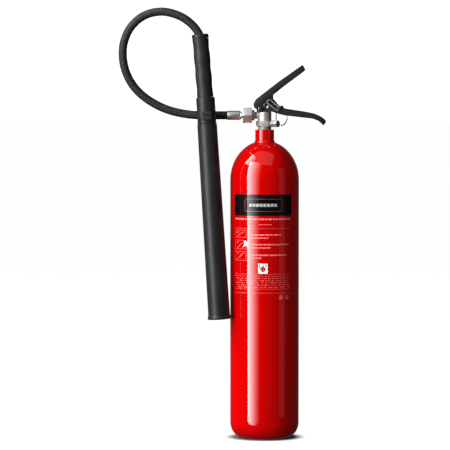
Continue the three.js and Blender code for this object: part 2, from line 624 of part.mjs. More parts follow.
const pinZ = VALVE_TOP + PIN_HOLE.y;
const ringAlong = new THREE.Vector3(Math.cos(rad(RING_TURN)), Math.sin(rad(RING_TURN)), 0);
const bendAlong = new THREE.Vector3(-ringAlong.y, ringAlong.x, 0);
const bendStart = new THREE.Vector3(PIN_HOLE.x, PIN_REAR, pinZ);
const eyeCentre = bendStart.clone().addScaledVector(bendAlong, PIN_BEND);

function safetyPin() {
  const neckRadius = EYE_WIRE * 0.85;
  const neck = rod(neckRadius, 0, PIN_BEND - EYE_RADIUS, 12)
    .rotateX(-Math.PI / 2).rotateZ(rad(RING_TURN)).translate(...bendStart.toArray());
  const elbow = new THREE.SphereGeometry(PIN_RADIUS * 1.25, 16, 10).translate(...bendStart.toArray());
  const eye = new THREE.TorusGeometry(EYE_RADIUS, EYE_WIRE, 8, 20)
    .rotateY(Math.PI / 2).rotateZ(rad(RING_TURN)).translate(...eyeCentre.toArray());
  return solid(crossRod(PIN_RADIUS, PIN_HOLE, -PIN_FRONT, PIN_REAR, 16))
    .add(solid(elbow))
    .add(solid(neck))
    .add(solid(eye));
}

function tamperSeal() {
  const end = step([PIN_HOLE.x, PIN_HOLE.y], SEAL_LENGTH, SEAL_ANGLE);
  const middle = [(PIN_HOLE.x + end[0]) / 2, (PIN_HOLE.y + end[1]) / 2];
  const loop = new THREE.TorusGeometry(SEAL_HALF_WIDTH, SEAL_WIRE, 6, 24);
  const positions = loop.attributes.position;
  for (let i = 0; i < positions.count; i++) {
    const x = positions.getX(i);
    positions.setX(i, x + Math.sign(Math.round(x / SEAL_WIRE)) * SEAL_LENGTH / 2);
  }
  return loop.rotateZ(rad(SEAL_ANGLE)).rotateX(Math.PI / 2)
    .translate(middle[0], -SEAL_SETBACK, VALVE_TOP + middle[1]);
}

add('safety_pin', surface(safetyPin()), steel);
add('pull_ring', new THREE.TorusGeometry(RING_RADIUS, RING_WIRE, 8, 32)
  .rotateX(Math.PI / 2).rotateZ(rad(RING_TURN))
  .translate(eyeCentre.x, eyeCentre.y, eyeCentre.z - RING_RADIUS), steel);
add('tamper_seal', tamperSeal(), paleNylon);

// ---------------------------------------------------------------- hose coupling

function unionNut() {
  const end = NUT_START + NUT_LENGTH;
  const bore = spin([
    [0, NUT_START - CUT], [SPUD_RADIUS + GAP, NUT_START - CUT], [SPUD_RADIUS + GAP, NUT_SHOULDER],
    [TAIL_RADIUS + GAP, NUT_SHOULDER], [TAIL_RADIUS + GAP, end + CUT], [0, end + CUT],
  ]);
  const nut = hexagon(NUT_FLATS, NUT_START, end).subtract(solid(bore));
  return surface(nut).rotateY(-Math.PI / 2).translate(0, 0, OUTLET_Z);
}

add('union_nut', unionNut(), nickel);
add('outlet_washer', spinOutlet([
  [PORT_RADIUS + GAP, SPUD_END + GAP], [TAIL_FLANGE_RADIUS, SPUD_END + GAP],
  [TAIL_FLANGE_RADIUS, FLANGE_START - GAP], [PORT_RADIUS + GAP, FLANGE_START - GAP],
]), sealRubber);
add('hose_tail', spinOutlet([
  [TAIL_BORE, FLANGE_START], [TAIL_FLANGE_RADIUS, FLANGE_START], [TAIL_FLANGE_RADIUS, FLANGE_START + TAIL_FLANGE],
  [TAIL_RADIUS, FLANGE_START + TAIL_FLANGE], [TAIL_RADIUS, TAIL_END], [BARB_RADIUS, TAIL_END],
  [BARB_RADIUS, TAIL_END + BARB_LENGTH], [TAIL_BORE, TAIL_END + BARB_LENGTH],
]), nickel);
add('hose_ferrule', spinOutlet([
  [BARB_RADIUS + GAP, FERRULE_START], [FERRULE_RADIUS - FERRULE_TAPER / 2, FERRULE_START],
  [FERRULE_RADIUS, FERRULE_START + FERRULE_TAPER], [FERRULE_RADIUS, FERRULE_END],
  [HOSE_RADIUS + GAP, FERRULE_END], [HOSE_RADIUS + GAP, FERRULE_END - HOSE_SOCKET],
  [BARB_RADIUS + GAP, FERRULE_END - HOSE_SOCKET],
]), nickel);

// ---------------------------------------------------------------- horn, collar and grip

const horn = new THREE.Group();
horn.position.set(HORN_X, HORN_Y, HORN_Z);
horn.rotation.y = -rad(HORN_TILT);
extinguisher.add(horn);

const collarBottom = HORN_LENGTH + GAP;
const collarTop = collarBottom + COLLAR_LENGTH;
const nozzleBottom = HORN_LENGTH + HORN_SPIGOT + 2 * GAP;
const nozzleTop = nozzleBottom + NOZZLE_LENGTH;

function hornTube() {
  const bore = HORN_SPIGOT_RADIUS - HORN_WALL;
  return spin([
    [HORN_BOTTOM_RADIUS - HORN_WALL, 0], [HORN_MOUTH_RADIUS, 0], [HORN_MOUTH_RADIUS, HORN_LIP - HORN_LIP_SLOPE],
    [HORN_BOTTOM_RADIUS, HORN_LIP + HORN_LIP_SLOPE], [HORN_TOP_RADIUS, HORN_LENGTH],
    [HORN_SPIGOT_RADIUS, HORN_LENGTH], [HORN_SPIGOT_RADIUS, HORN_LENGTH + HORN_SPIGOT],
    [bore, HORN_LENGTH + HORN_SPIGOT], [bore, HORN_LENGTH - HORN_WALL],
    [HORN_TOP_RADIUS - HORN_WALL, HORN_LENGTH - 3 * HORN_WALL],
  ], 40);
}

function hornCollar() {
  const pipeBore = PIPE_RADIUS + 3 * GAP;
  const socketTop = HORN_LENGTH + HORN_SPIGOT + GAP;
  return spin([
    [HORN_SPIGOT_RADIUS + GAP, collarBottom], [COLLAR_RADIUS, collarBottom], [COLLAR_RADIUS, collarTop - 2 * COLLAR_CHAMFER],
    [COLLAR_RADIUS - COLLAR_CHAMFER, collarTop], [pipeBore, collarTop], [pipeBore, nozzleTop + GAP],
    [NOZZLE_RADIUS + GAP, nozzleTop + GAP], [NOZZLE_RADIUS + GAP, socketTop], [HORN_SPIGOT_RADIUS + GAP, socketTop],
  ], 40);
}

add('horn_tube', hornTube(), blackPlastic, horn);
add('horn_collar', hornCollar(), blackPlastic, horn);
add('discharge_nozzle', spin([
  [NOZZLE_BORE, nozzleBottom + NOZZLE_FLARE], [NOZZLE_RADIUS - NOZZLE_RIM, nozzleBottom], [NOZZLE_RADIUS, nozzleBottom],
  [NOZZLE_RADIUS, nozzleTop], [PORT_RADIUS, nozzleTop], [NOZZLE_BORE, nozzleTop - NOZZLE_ENTRY],
], 32), brass, horn);

const grip = new THREE.Group();
grip.position.set(0, 0, collarTop + GAP);
grip.rotation.y = -rad(GRIP_EXTRA_TILT);
horn.add(grip);

const gripBottom = 2 * GAP;
const gripTop = gripBottom + GRIP_LENGTH;
const endFerruleTop = END_FERRULE_START + END_FERRULE_LENGTH;
const endSocketBottom = endFerruleTop - END_SOCKET;

function gripSleeve() {
  const bore = END_FERRULE_RADIUS + GAP;
  const steps = 12;
  const waves = Array.from({ length: steps + 1 }, (_, i) => [
    GRIP_RADIUS + GRIP_WAVE * Math.cos(2 * Math.PI * GRIP_WAVES * i / steps),
    gripBottom + GRIP_LENGTH * i / steps,
  ]);
  return spin([[bore, gripBottom], ...waves, [bore, gripTop]], 32);
}

function gripEndCap() {
  const bottom = gripTop + GAP;
  const top = bottom + GRIP_CAP;
  const bore = HOSE_RADIUS + 4 * GAP;
  return spin([
    [bore, bottom], [GRIP_CAP_RADIUS, bottom], [GRIP_CAP_RADIUS, top - GRIP_CAP_CHAMFER],
    [GRIP_CAP_RADIUS - GRIP_CAP_CHAMFER, top], [bore + GRIP_CAP_MOUTH, top],
  ], 40);
}

add('horn_grip', gripSleeve(), blackRubber, grip);
add('grip_end_cap', gripEndCap(), blackPlastic, grip);
add('horn_end_ferrule', spin([
  [BARB_RADIUS + GAP, END_FERRULE_START], [END_FERRULE_RADIUS, END_FERRULE_START],
  [END_FERRULE_RADIUS, endFerruleTop], [HOSE_RADIUS + GAP, endFerruleTop],
  [HOSE_RADIUS + GAP, endSocketBottom], [BARB_RADIUS + GAP, endSocketBottom],
], 32), nickel, grip);
add('horn_pipe', spin([
  [TAIL_BORE, nozzleTop - collarTop + GAP], [PIPE_RADIUS, nozzleTop - collarTop + GAP],
  [PIPE_RADIUS, END_FERRULE_START - GAP], [BARB_RADIUS, END_FERRULE_START - GAP],
  [BARB_RADIUS, endSocketBottom - GAP], [TAIL_BORE, endSocketBottom - GAP],
], 32), steel, grip);

// ---------------------------------------------------------------- hose

const hosePoints = HOSE_ROUTE.map(([x, y, z]) => new THREE.Vector3(x, y, OUTLET_Z + z));
const hoseCurve = new THREE.CatmullRomCurve3(hosePoints, false, 'centripetal');
add('hose', bar(hoseCurve, HOSE_RADIUS, HOSE_SIDES, HOSE_STEPS), blackRubber);

// ---------------------------------------------------------------- clip between the horn and the hose

const bandBottom = CLIP_CENTRE - CLIP_BAND_WIDTH / 2;

function hornFrame(geometry) {
  return geometry.rotateY(-rad(HORN_TILT)).translate(HORN_X, HORN_Y, HORN_Z);
}

function hoseClip() {
  const outer = HOSE_RADIUS + GAP + CLIP_WALL;
  const along = (geometry) => geometry.rotateY(Math.PI / 2).translate(CLIP_X, 0, OUTLET_Z);
  const half = CLIP_LENGTH / 2;
  const block = new THREE.BoxGeometry(CLIP_LENGTH, -HORN_Y / 2 + HOSE_RADIUS / 2, CLIP_BLOCK)
    .translate(CLIP_X, (HORN_Y - HOSE_RADIUS) / 4 - HOSE_RADIUS / 4, OUTLET_Z);
  const mouth = new THREE.BoxGeometry(2 * CLIP_LENGTH, 4 * HOSE_RADIUS, CLIP_MOUTH)
    .translate(CLIP_X, 2 * HOSE_RADIUS, OUTLET_Z);
  const bandSpace = hornFrame(rod(BAND_OUTER + GAP, CLIP_CENTRE - 2 * CLIP_LENGTH, CLIP_CENTRE + 2 * CLIP_LENGTH, 48));
  return solid(along(rod(outer, -half, half, 36)))
    .add(solid(block))
    .subtract(solid(along(rod(HOSE_RADIUS + 2 * GAP, -CLIP_LENGTH, CLIP_LENGTH, 36))))
    .subtract(solid(mouth))
    .subtract(solid(bandSpace));
}

function clipBuckle() {
  const depth = BAND_OUTER + GAP + BUCKLE_DEPTH;
  const body = new THREE.BoxGeometry(BUCKLE_WIDTH, depth, BUCKLE_HEIGHT).translate(0, -depth / 2, CLIP_CENTRE);
  const slot = new THREE.BoxGeometry(BUCKLE_WIDTH + CUT, BUCKLE_DEPTH, BUCKLE_SLOT)
    .translate(0, -depth, CLIP_CENTRE);
  const core = rod(BAND_OUTER + GAP, bandBottom - BUCKLE_HEIGHT, CLIP_CENTRE + BUCKLE_HEIGHT, 48);
  return surface(solid(body).subtract(solid(slot)).subtract(solid(core)));
}

add('clip_band', ring(COLLAR_RADIUS + GAP, BAND_OUTER, bandBottom, bandBottom + CLIP_BAND_WIDTH, 48), steel, horn);
add('clip_buckle', clipBuckle(), blackPlastic, horn);
add('hose_clip', surface(hoseClip()), blackPlastic);

export default extinguisher;
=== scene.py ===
# Carbon dioxide fire extinguisher: its look. Metres, +Z up, the front faces -Y.
import json
import math
import random

import bmesh
import bpy
from mathutils import Matrix, Vector


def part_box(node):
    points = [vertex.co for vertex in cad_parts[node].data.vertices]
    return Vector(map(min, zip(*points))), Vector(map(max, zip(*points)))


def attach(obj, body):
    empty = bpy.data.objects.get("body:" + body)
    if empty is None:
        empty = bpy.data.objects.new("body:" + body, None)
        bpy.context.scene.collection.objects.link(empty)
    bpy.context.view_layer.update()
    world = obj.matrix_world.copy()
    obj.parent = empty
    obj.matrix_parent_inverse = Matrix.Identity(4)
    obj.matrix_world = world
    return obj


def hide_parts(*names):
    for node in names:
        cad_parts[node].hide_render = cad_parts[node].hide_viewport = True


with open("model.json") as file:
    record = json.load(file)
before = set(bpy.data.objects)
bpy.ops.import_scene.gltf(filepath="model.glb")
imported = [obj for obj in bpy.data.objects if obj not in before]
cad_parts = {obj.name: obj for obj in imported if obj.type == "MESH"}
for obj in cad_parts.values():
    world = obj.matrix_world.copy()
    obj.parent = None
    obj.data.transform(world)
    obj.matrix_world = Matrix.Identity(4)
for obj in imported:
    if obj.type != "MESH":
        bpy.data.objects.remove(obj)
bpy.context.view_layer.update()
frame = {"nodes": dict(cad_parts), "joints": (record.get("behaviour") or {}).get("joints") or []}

MM = 0.001
MERGE = 1e-6                        # points nearer than this are one point
joints = {joint["name"]: joint for joint in frame["joints"]}

bottle_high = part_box("cylinder_shell")[1]
BOTTLE_RADIUS = bottle_high.x
BOTTLE_HEIGHT = bottle_high.z
OUTLET = Vector((0, 0, joints["hose_swivel"]["pos_m"][2]))


# ---------------------------------------------------------------- camera

CAMERA_DISTANCE = 6.0
CAMERA_HEIGHT = 0.72
LOOK_AT = Vector((-0.0784, 0, 0.4213))
VIEW_WIDTH = 0.8915                 # what the view spans at LOOK_AT
SENSOR_WIDTH = 36
VIEW_END = 60


def make_camera():
    data = bpy.data.cameras.new("camera")
    camera = bpy.data.objects.new("camera", data)
    bpy.context.scene.collection.objects.link(camera)
    camera.location = Vector((LOOK_AT.x, -CAMERA_DISTANCE, CAMERA_HEIGHT))
    sight = LOOK_AT - camera.location
    camera.rotation_euler = sight.to_track_quat("-Z", "Y").to_euler()
    data.sensor_width = SENSOR_WIDTH
    data.lens = SENSOR_WIDTH * sight.length / VIEW_WIDTH
    data.clip_end = VIEW_END
    bpy.context.scene.camera = camera


make_camera()


# ---------------------------------------------------------------- mesh helpers

SHARP_ANGLE = 35
BEVELLED_SHARP_ANGLE = 40
FLAT_ANGLE = 0.6                    # faces nearer in slope than this are one flat face
STRAIGHT_ANGLE = 160                # a corner wider than this is left as it is


def link(name, mesh):
    piece = bpy.data.objects.new(name, mesh)
    bpy.context.scene.collection.objects.link(piece)
    return piece


def shade(mesh, angle):
    mesh.shade_smooth()
    mesh.set_sharp_from_angle(angle=math.radians(angle))


def finish_mesh(name, bm, angle=SHARP_ANGLE):
    """A new object from a bmesh, with its normals outward and soft shading below the given angle."""
    bmesh.ops.remove_doubles(bm, verts=bm.verts, dist=MERGE)
    bmesh.ops.recalc_face_normals(bm, faces=bm.faces)
    mesh = bpy.data.meshes.new(name)
    bm.to_mesh(mesh)
    bm.free()
    shade(mesh, angle)
    return link(name, mesh)


def freeze(piece):
    """Applies a piece's modifiers, so that a plain mesh is left."""
    graph = bpy.context.evaluated_depsgraph_get()
    mesh = bpy.data.meshes.new_from_object(piece.evaluated_get(graph))
    piece.modifiers.clear()
    piece.data = mesh
    return piece


def spin(name, profile, segments=96, place=Matrix.Identity(4)):
    """Turns a closed [radius, height] profile about Z and moves it to its place."""
    bm = bmesh.new()
    columns = []
    for i in range(segments):
        turn = 2 * math.pi * i / segments
        columns.append([
            bm.verts.new(place @ Vector((radius * math.cos(turn), radius * math.sin(turn), height)))
            for radius, height in profile
        ])
    count = len(profile)
    for i, column in enumerate(columns):
        beside = columns[(i + 1) % segments]
        for j in range(count):
            k = (j + 1) % count
            if profile[j][0] == 0 and profile[k][0] == 0:
                continue
            bm.faces.new((column[j], beside[j], beside[k], column[k]))
    bmesh.ops.remove_doubles(bm, verts=bm.verts, dist=MERGE)
    bmesh.ops.dissolve_degenerate(bm, edges=bm.edges, dist=MERGE / 10)
    return finish_mesh(name, bm)


def round_corners(profile, radius, steps=4):
    """A closed profile with each corner that turns by more than 20 degrees rounded."""
    rounded = []
    count = len(profile)
    for i in range(count):
        before, corner, after = (Vector(profile[(i + k) % count]) for k in (-1, 0, 1))
        if corner.x == 0:
            rounded.append(tuple(corner))
            continue
        back, ahead = before - corner, after - corner
        room = min(radius, back.length * 0.45, ahead.length * 0.45)
        if back.angle(ahead) > math.radians(STRAIGHT_ANGLE) or room < MERGE:
            rounded.append(tuple(corner))
            continue
        start = corner + back.normalized() * room
        end = corner + ahead.normalized() * room
        for step in range(steps + 1):
            t = step / steps
            rounded.append(tuple(start * (1 - t) ** 2 + corner * 2 * t * (1 - t) + end * t * t))
    return rounded


def refined(node, bevel, segments=2, limit=28):
    """A copy of a CAD piece with its flat faces merged and its edges rounded, which stands for it."""
    bm = bmesh.new()
    bm.from_mesh(frame["nodes"][node].data)
    bmesh.ops.remove_doubles(bm, verts=bm.verts, dist=MERGE)
    bmesh.ops.dissolve_limit(bm, angle_limit=math.radians(FLAT_ANGLE), verts=bm.verts, edges=bm.edges)
    piece = finish_mesh(node + "_finished", bm, 30)
    if bevel:
        modifier = piece.modifiers.new("edges", "BEVEL")
        modifier.width = bevel
        modifier.segments = segments
        modifier.limit_method = "ANGLE"
        modifier.angle_limit = math.radians(limit)
        freeze(piece)
        shade(piece.data, BEVELLED_SHARP_ANGLE)
    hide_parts(node)
    return piece


def mount(piece, material, body):
    piece.data.materials.clear()
    piece.data.materials.append(material)
    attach(piece, body)
    return piece


# ---------------------------------------------------------------- materials

def math_node(tree, operation, a, b=0.0):
    made = tree.nodes.new("ShaderNodeMath")
    made.operation = operation
    for socket, value in zip(made.inputs, (a, b)):
        if isinstance(value, (int, float)):
            socket.default_value = value
        else:
            tree.links.new(value, socket)
    return made.outputs["Value"]


class Finish:
    """A material with one Principled shader, and short ways to add nodes to it."""

    def __init__(self, name, color, roughness, metallic=0.0, coat=0.0, coat_roughness=0.05, specular=0.5):
        self.material = bpy.data.materials.new(name)
        self.material.use_nodes = True
        self.tree = self.material.node_tree
        self.shader = self.tree.nodes["Principled BSDF"]
        self.color = (*color, 1)
        self.shader.inputs["Base Color"].default_value = self.color
        self.shader.inputs["Roughness"].default_value = roughness
        self.shader.inputs["Metallic"].default_value = metallic
        self.shader.inputs["Coat Weight"].default_value = coat
        self.shader.inputs["Coat Roughness"].default_value = coat_roughness
        self.shader.inputs["Specular IOR Level"].default_value = specular
        self.normal = None

    def node(self, kind, **values):
        made = self.tree.nodes.new(kind)
        for key, value in values.items():
            if key in made.inputs:
                made.inputs[key].default_value = value
            else:
                setattr(made, key, value)
        return made

    def join(self, out, into):
        self.tree.links.new(out, into)

    def coordinates(self, kind="Object", scale=(1, 1, 1), rotation=(0, 0, 0)):
        source = self.node("ShaderNodeTexCoord")
        mapping = self.node("ShaderNodeMapping")
        mapping.inputs["Scale"].default_value = scale
        mapping.inputs["Rotation"].default_value = rotation
        self.join(source.outputs[kind], mapping.inputs["Vector"])
        return mapping.outputs["Vector"]

    def noise(self, scale, detail=3.0, vector=None, roughness=0.55):
        made = self.node("ShaderNodeTexNoise", Scale=scale, Detail=detail, Roughness=roughness)
        self.join(vector or self.coordinates(), made.inputs["Vector"])
        return made.outputs["Fac"]

    def ramp(self, value, low, high):
        made = self.node("ShaderNodeMapRange")
        made.inputs["To Min"].default_value = low
        made.inputs["To Max"].default_value = high
        self.join(value, made.inputs["Value"])
        return made.outputs["Result"]

    def vary_roughness(self, value, low, high):
        self.join(self.ramp(value, low, high), self.shader.inputs["Roughness"])

    def vary_color(self, value, other, start=0.35, end=0.65):
        made = self.node("ShaderNodeValToRGB")
        made.color_ramp.elements[0].position = start
        made.color_ramp.elements[1].position = end
        made.color_ramp.elements[0].color = self.color
        made.color_ramp.elements[1].color = (*other, 1)
        self.join(value, made.inputs["Fac"])
        self.join(made.outputs["Color"], self.shader.inputs["Base Color"])

    def bump(self, value, depth, strength=1.0):
        made = self.node("ShaderNodeBump")
        made.inputs["Strength"].default_value = strength
        made.inputs["Distance"].default_value = depth
        self.join(value, made.inputs["Height"])
        if self.normal:
            self.join(self.normal, made.inputs["Normal"])
        self.normal = made.outputs["Normal"]
        self.join(self.normal, self.shader.inputs["Normal"])


def red_enamel():
    finish = Finish("red_enamel", (0.38, 0.0, 0.0), 0.4, coat=1.0, coat_roughness=0.03, specular=0.0)
    finish.vary_color(finish.noise(9), (0.37, 0.0, 0.0))
    finish.bump(finish.noise(420, 2), 0.00006, 0.25)
    finish.vary_roughness(finish.noise(55, 5), 0.28, 0.4)
    return finish.material


def black_film():
    finish = Finish("black_film", (0.002, 0.002, 0.0022), 0.3, coat=0.35, coat_roughness=0.04,
                    specular=0.05)
    finish.vary_roughness(finish.noise(80, 4), 0.25, 0.4)
    return finish.material


def red_film():
    finish = Finish("red_film", (0.37, 0.0, 0.0), 0.4, coat=1.0, coat_roughness=0.04, specular=0.0)
    finish.vary_color(finish.noise(14), (0.36, 0.0, 0.0))
    finish.vary_roughness(finish.noise(90, 4), 0.3, 0.42)
    return finish.material


def printed_ink(name, color, other, coat=0.5):
    finish = Finish(name, color, 0.5, coat=coat)
    finish.vary_color(finish.noise(260, 2), other)
    return finish.material


def satin_nickel(name, color, low, high, metallic, cast=0.0):
    """Plated metal between two roughnesses; cast, from 0 to 1, adds a casting's coarse skin."""
    finish = Finish(name, color, 0.3, metallic=metallic)
    finish.vary_color(finish.noise(170, 6), tuple(c * (0.92 - 0.5 * cast) for c in color), 0.3, 0.7)
    finish.vary_roughness(finish.noise(320, 5), low, high)
    finish.bump(finish.noise(900, 3), 0.00003, 0.3)
    if cast:
        finish.bump(finish.noise(210, 2), 0.00025, cast)
    return finish.material


def drawn_steel(name, grey):
    finish = Finish(name, (grey, grey, grey * 1.02), 0.26, metallic=1.0)
    lines = finish.coordinates(scale=(1, 1, 40))
    finish.vary_roughness(finish.noise(160, 4, lines), 0.18, 0.36)
    finish.vary_color(finish.noise(90, 4), (grey * 0.82, grey * 0.82, grey * 0.84))
    return finish.material


def turned_brass():
    finish = Finish("turned_brass", (0.66, 0.48, 0.22), 0.3, metallic=1.0)
    finish.vary_roughness(finish.noise(300, 4), 0.22, 0.4)
    finish.vary_color(finish.noise(60, 4), (0.5, 0.34, 0.14))
    return finish.material


def black_powder_coat():
    finish = Finish("black_powder_coat", (0.005, 0.0052, 0.0056), 0.46, specular=0.3)
    finish.bump(finish.noise(1500, 3), 0.00005, 0.3)
    finish.vary_roughness(finish.noise(110, 4), 0.4, 0.54)
    finish.vary_color(finish.noise(40, 4), (0.010, 0.0102, 0.011))
    return finish.material


def moulded_plastic(name, grey, low, high, grain):
    finish = Finish(name, (grey, grey * 1.03, grey * 1.15), 0.4, specular=0.22)
    finish.bump(finish.noise(grain, 3), 0.00003, 0.25)
    finish.vary_roughness(finish.noise(70, 5), low, high)
    finish.vary_color(finish.noise(25, 4), (grey * 1.5, grey * 1.54, grey * 1.7))
    return finish.material


YARN_ANGLE = 38
YARN_SCALE = 150.0


def woven_rubber():
    """The hose's cover: two sets of fine diagonal yarns, laid out by the hose's own length and turn."""
    finish = Finish("woven_rubber", (0.004, 0.004, 0.0044), 0.62, specular=0.3)
    heights = []
    for slant in (1, -1):
        vector = finish.coordinates("UV", rotation=(0, 0, slant * math.radians(YARN_ANGLE)))
        wave = finish.node("ShaderNodeTexWave", Scale=YARN_SCALE, Distortion=0.6)
        wave.inputs["Detail"].default_value = 1.0
        wave.bands_direction = "X"
        finish.join(vector, wave.inputs["Vector"])
        heights.append(wave.outputs["Fac"])
    weave = math_node(finish.tree, "MAXIMUM", *heights)
    finish.bump(weave, 0.0005, 0.8)
    finish.bump(finish.noise(900, 3), 0.00015, 0.4)
    finish.vary_color(weave, (0.009, 0.009, 0.0098), 0.3, 1.0)
    finish.vary_roughness(finish.noise(60, 4), 0.5, 0.7)
    return finish.material


def soft_rubber():
    finish = Finish("seal_rubber", (0.015, 0.015, 0.015), 0.7)
    finish.bump(finish.noise(600, 3), 0.00008, 0.4)
    finish.vary_roughness(finish.noise(80, 3), 0.6, 0.8)
    return finish.material


def pale_nylon():
    finish = Finish("pale_nylon", (0.24, 0.25, 0.235), 0.42)
    finish.shader.inputs["Subsurface Weight"].default_value = 0.15
    finish.shader.inputs["Subsurface Radius"].default_value = (0.001, 0.001, 0.001)
    finish.vary_color(finish.noise(200, 3), (0.19, 0.2, 0.185))
    finish.vary_roughness(finish.noise(120, 3), 0.34, 0.5)
    return finish.material


RED = red_enamel()
BLACK_FILM = black_film()
RED_FILM = red_film()
PALE_INK = printed_ink("pale_ink", (0.75, 0.16, 0.16), (0.7, 0.12, 0.12))
FAINT_INK = printed_ink("faint_ink", (0.62, 0.1, 0.09), (0.56, 0.07, 0.065))
WHITE_INK = printed_ink("white_ink", (0.82, 0.78, 0.74), (0.75, 0.7, 0.66))
RED_INK = printed_ink("red_ink", (0.32, 0.03, 0.035), (0.26, 0.02, 0.03))
GREY_INK = printed_ink("grey_ink", (0.34, 0.34, 0.34), (0.26, 0.26, 0.26), coat=0.0)
NICKEL = satin_nickel("satin_nickel", (0.62, 0.605, 0.58), 0.27, 0.38, 0.85)
WARM_NICKEL = satin_nickel("warm_nickel", (0.40, 0.375, 0.345), 0.36, 0.6, 0.72, 0.4)
DARK_NICKEL = satin_nickel("dark_nickel", (0.27, 0.255, 0.24), 0.36, 0.55, 0.72, 0.4)
STEEL = drawn_steel("drawn_steel", 0.56)
DARK_STEEL = drawn_steel("dark_steel", 0.2)
BRASS = turned_brass()
POWDER = black_powder_coat()
PLASTIC = moulded_plastic("satin_black_plastic", 0.008, 0.36, 0.46, 700)
CLIP_PLASTIC = moulded_plastic("clip_plastic", 0.014, 0.2, 0.3, 500)
GRIP_RUBBER = moulded_plastic("grip_rubber", 0.008, 0.42, 0.54, 1100)
HOSE_RUBBER = woven_rubber()
SEAL_RUBBER = soft_rubber()
NYLON = pale_nylon()


# ---------------------------------------------------------------- hose

HOSE_DIAMETER = 0.0164
PATH_STEP = 0.0035

# The route, from the outlet's centre on the valve's axis.
HOSE_ROUTE = [
    (-0.0663, 0, 0), (-0.0853, 0, 0), (-0.10438, 0, 0), (-0.126967, 0, 0), (-0.149967, 0, 0.0017),
    (-0.176967, 0, 0.0067), (-0.201967, -0.00051, 0.015), (-0.226467, -0.0015, 0.0281),
    (-0.246467, -0.00351, 0.0436), (-0.262367, -0.006, 0.0624), (-0.273567, -0.009, 0.0848),
    (-0.279567, -0.01251, 0.1115), (-0.277967, -0.01599, 0.142), (-0.264267, -0.02001, 0.1731),
    (-0.237167, -0.024, 0.1964), (-0.201167, -0.02751, 0.204), (-0.166467, -0.02949, 0.195),
    (-0.146967, -0.03, 0.182), (-0.135967, -0.03, 0.1705), (-0.129567, -0.03, 0.1605),
    (-0.126725, -0.03, 0.15142), (-0.12573, -0.03, 0.13956), (-0.124583, -0.03, 0.12591),
]


def smooth_path(points, step):
    """A centripetal curve through the points, as points about a step apart."""
    ghosts = [points[0] * 2 - points[1], *points, points[-1] * 2 - points[-2]]
    path = []
    for i in range(len(points) - 1):
        p0, p1, p2, p3 = ghosts[i:i + 4]
        d1, d2, d3 = ((b - a).length ** 0.5 for a, b in ((p0, p1), (p1, p2), (p2, p3)))
        m1 = (p1 - p0) / d1 - (p2 - p0) / (d1 + d2) + (p2 - p1) / d2
        m2 = (p2 - p1) / d2 - (p3 - p1) / (d2 + d3) + (p3 - p2) / d3
        m1, m2 = m1 * d2, m2 * d2
        count = max(2, round((p2 - p1).length / step))
        for k in range(count):
            t = k / count
            path.append(p1 * (2 * t ** 3 - 3 * t ** 2 + 1) + m1 * (t ** 3 - 2 * t ** 2 + t)
                        + p2 * (3 * t ** 2 - 2 * t ** 3) + m2 * (t ** 3 - t ** 2))
    path.append(points[-1])
    return path


def tube(name, path, radius, sides=32):
    """A closed tube along a path, with a UV map of metres along it and round it."""
    bm = bmesh.new()
    layer = bm.loops.layers.uv.new("UVMap")
    across = Vector((0, 1, 0))
    rings, lengths, length = [], [], 0.0
    for i, point in enumerate(path):
        ahead = (path[min(i + 1, len(path) - 1)] - path[max(i - 1, 0)]).normalized()
        across = (across - ahead * across.dot(ahead)).normalized()
        side = ahead.cross(across)
        if i:
            length += (point - path[i - 1]).length
        lengths.append(length)
        rings.append([
            bm.verts.new(point + radius * (across * math.cos(turn) + side * math.sin(turn)))
            for turn in (2 * math.pi * k / sides for k in range(sides))
        ])
    for i in range(len(rings) - 1):
        for k in range(sides):
            face = bm.faces.new((rings[i][k], rings[i][(k + 1) % sides],
                                 rings[i + 1][(k + 1) % sides], rings[i + 1][k]))
            for loop, (row, turn) in zip(face.loops, ((i, k), (i, k + 1), (i + 1, k + 1), (i + 1, k))):
                loop[layer].uv = (lengths[row], turn / sides * 2 * math.pi * radius)
    bm.faces.new(rings[0][::-1])
    bm.faces.new(rings[-1])
    return finish_mesh(name, bm, 40)


def make_hose():
    route = [OUTLET + Vector(point) for point in HOSE_ROUTE]
    path = smooth_path(route, PATH_STEP)
    hose = tube("hose_cover", path, HOSE_DIAMETER / 2)
    mount(hose, HOSE_RUBBER, "hose_and_horn")
    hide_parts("hose")


make_hose()


# ---------------------------------------------------------------- bottle

def arc(centre, radii, start, end, steps):
    for i in range(steps + 1):
        angle = math.radians(start + (end - start) * i / steps)
        yield (centre[0] + radii[0] * math.cos(angle), centre[1] + radii[1] * math.sin(angle))


NECK_RADIUS = 18.7 * MM
NECK_LENGTH = 24.5 * MM
NECK_FILLET = 3 * MM
SHOULDER_RISE = 78 * MM
BASE_CORNER = (24 * MM, 30 * MM)
NECK_BORE = 13 * MM
NECK_BORE_DEPTH = 12 * MM
NECK_EDGE = 1.2 * MM
WALL_HEIGHTS = (0.1, 0.2, 0.3, 0.4)     # rings that keep the wall's faces short


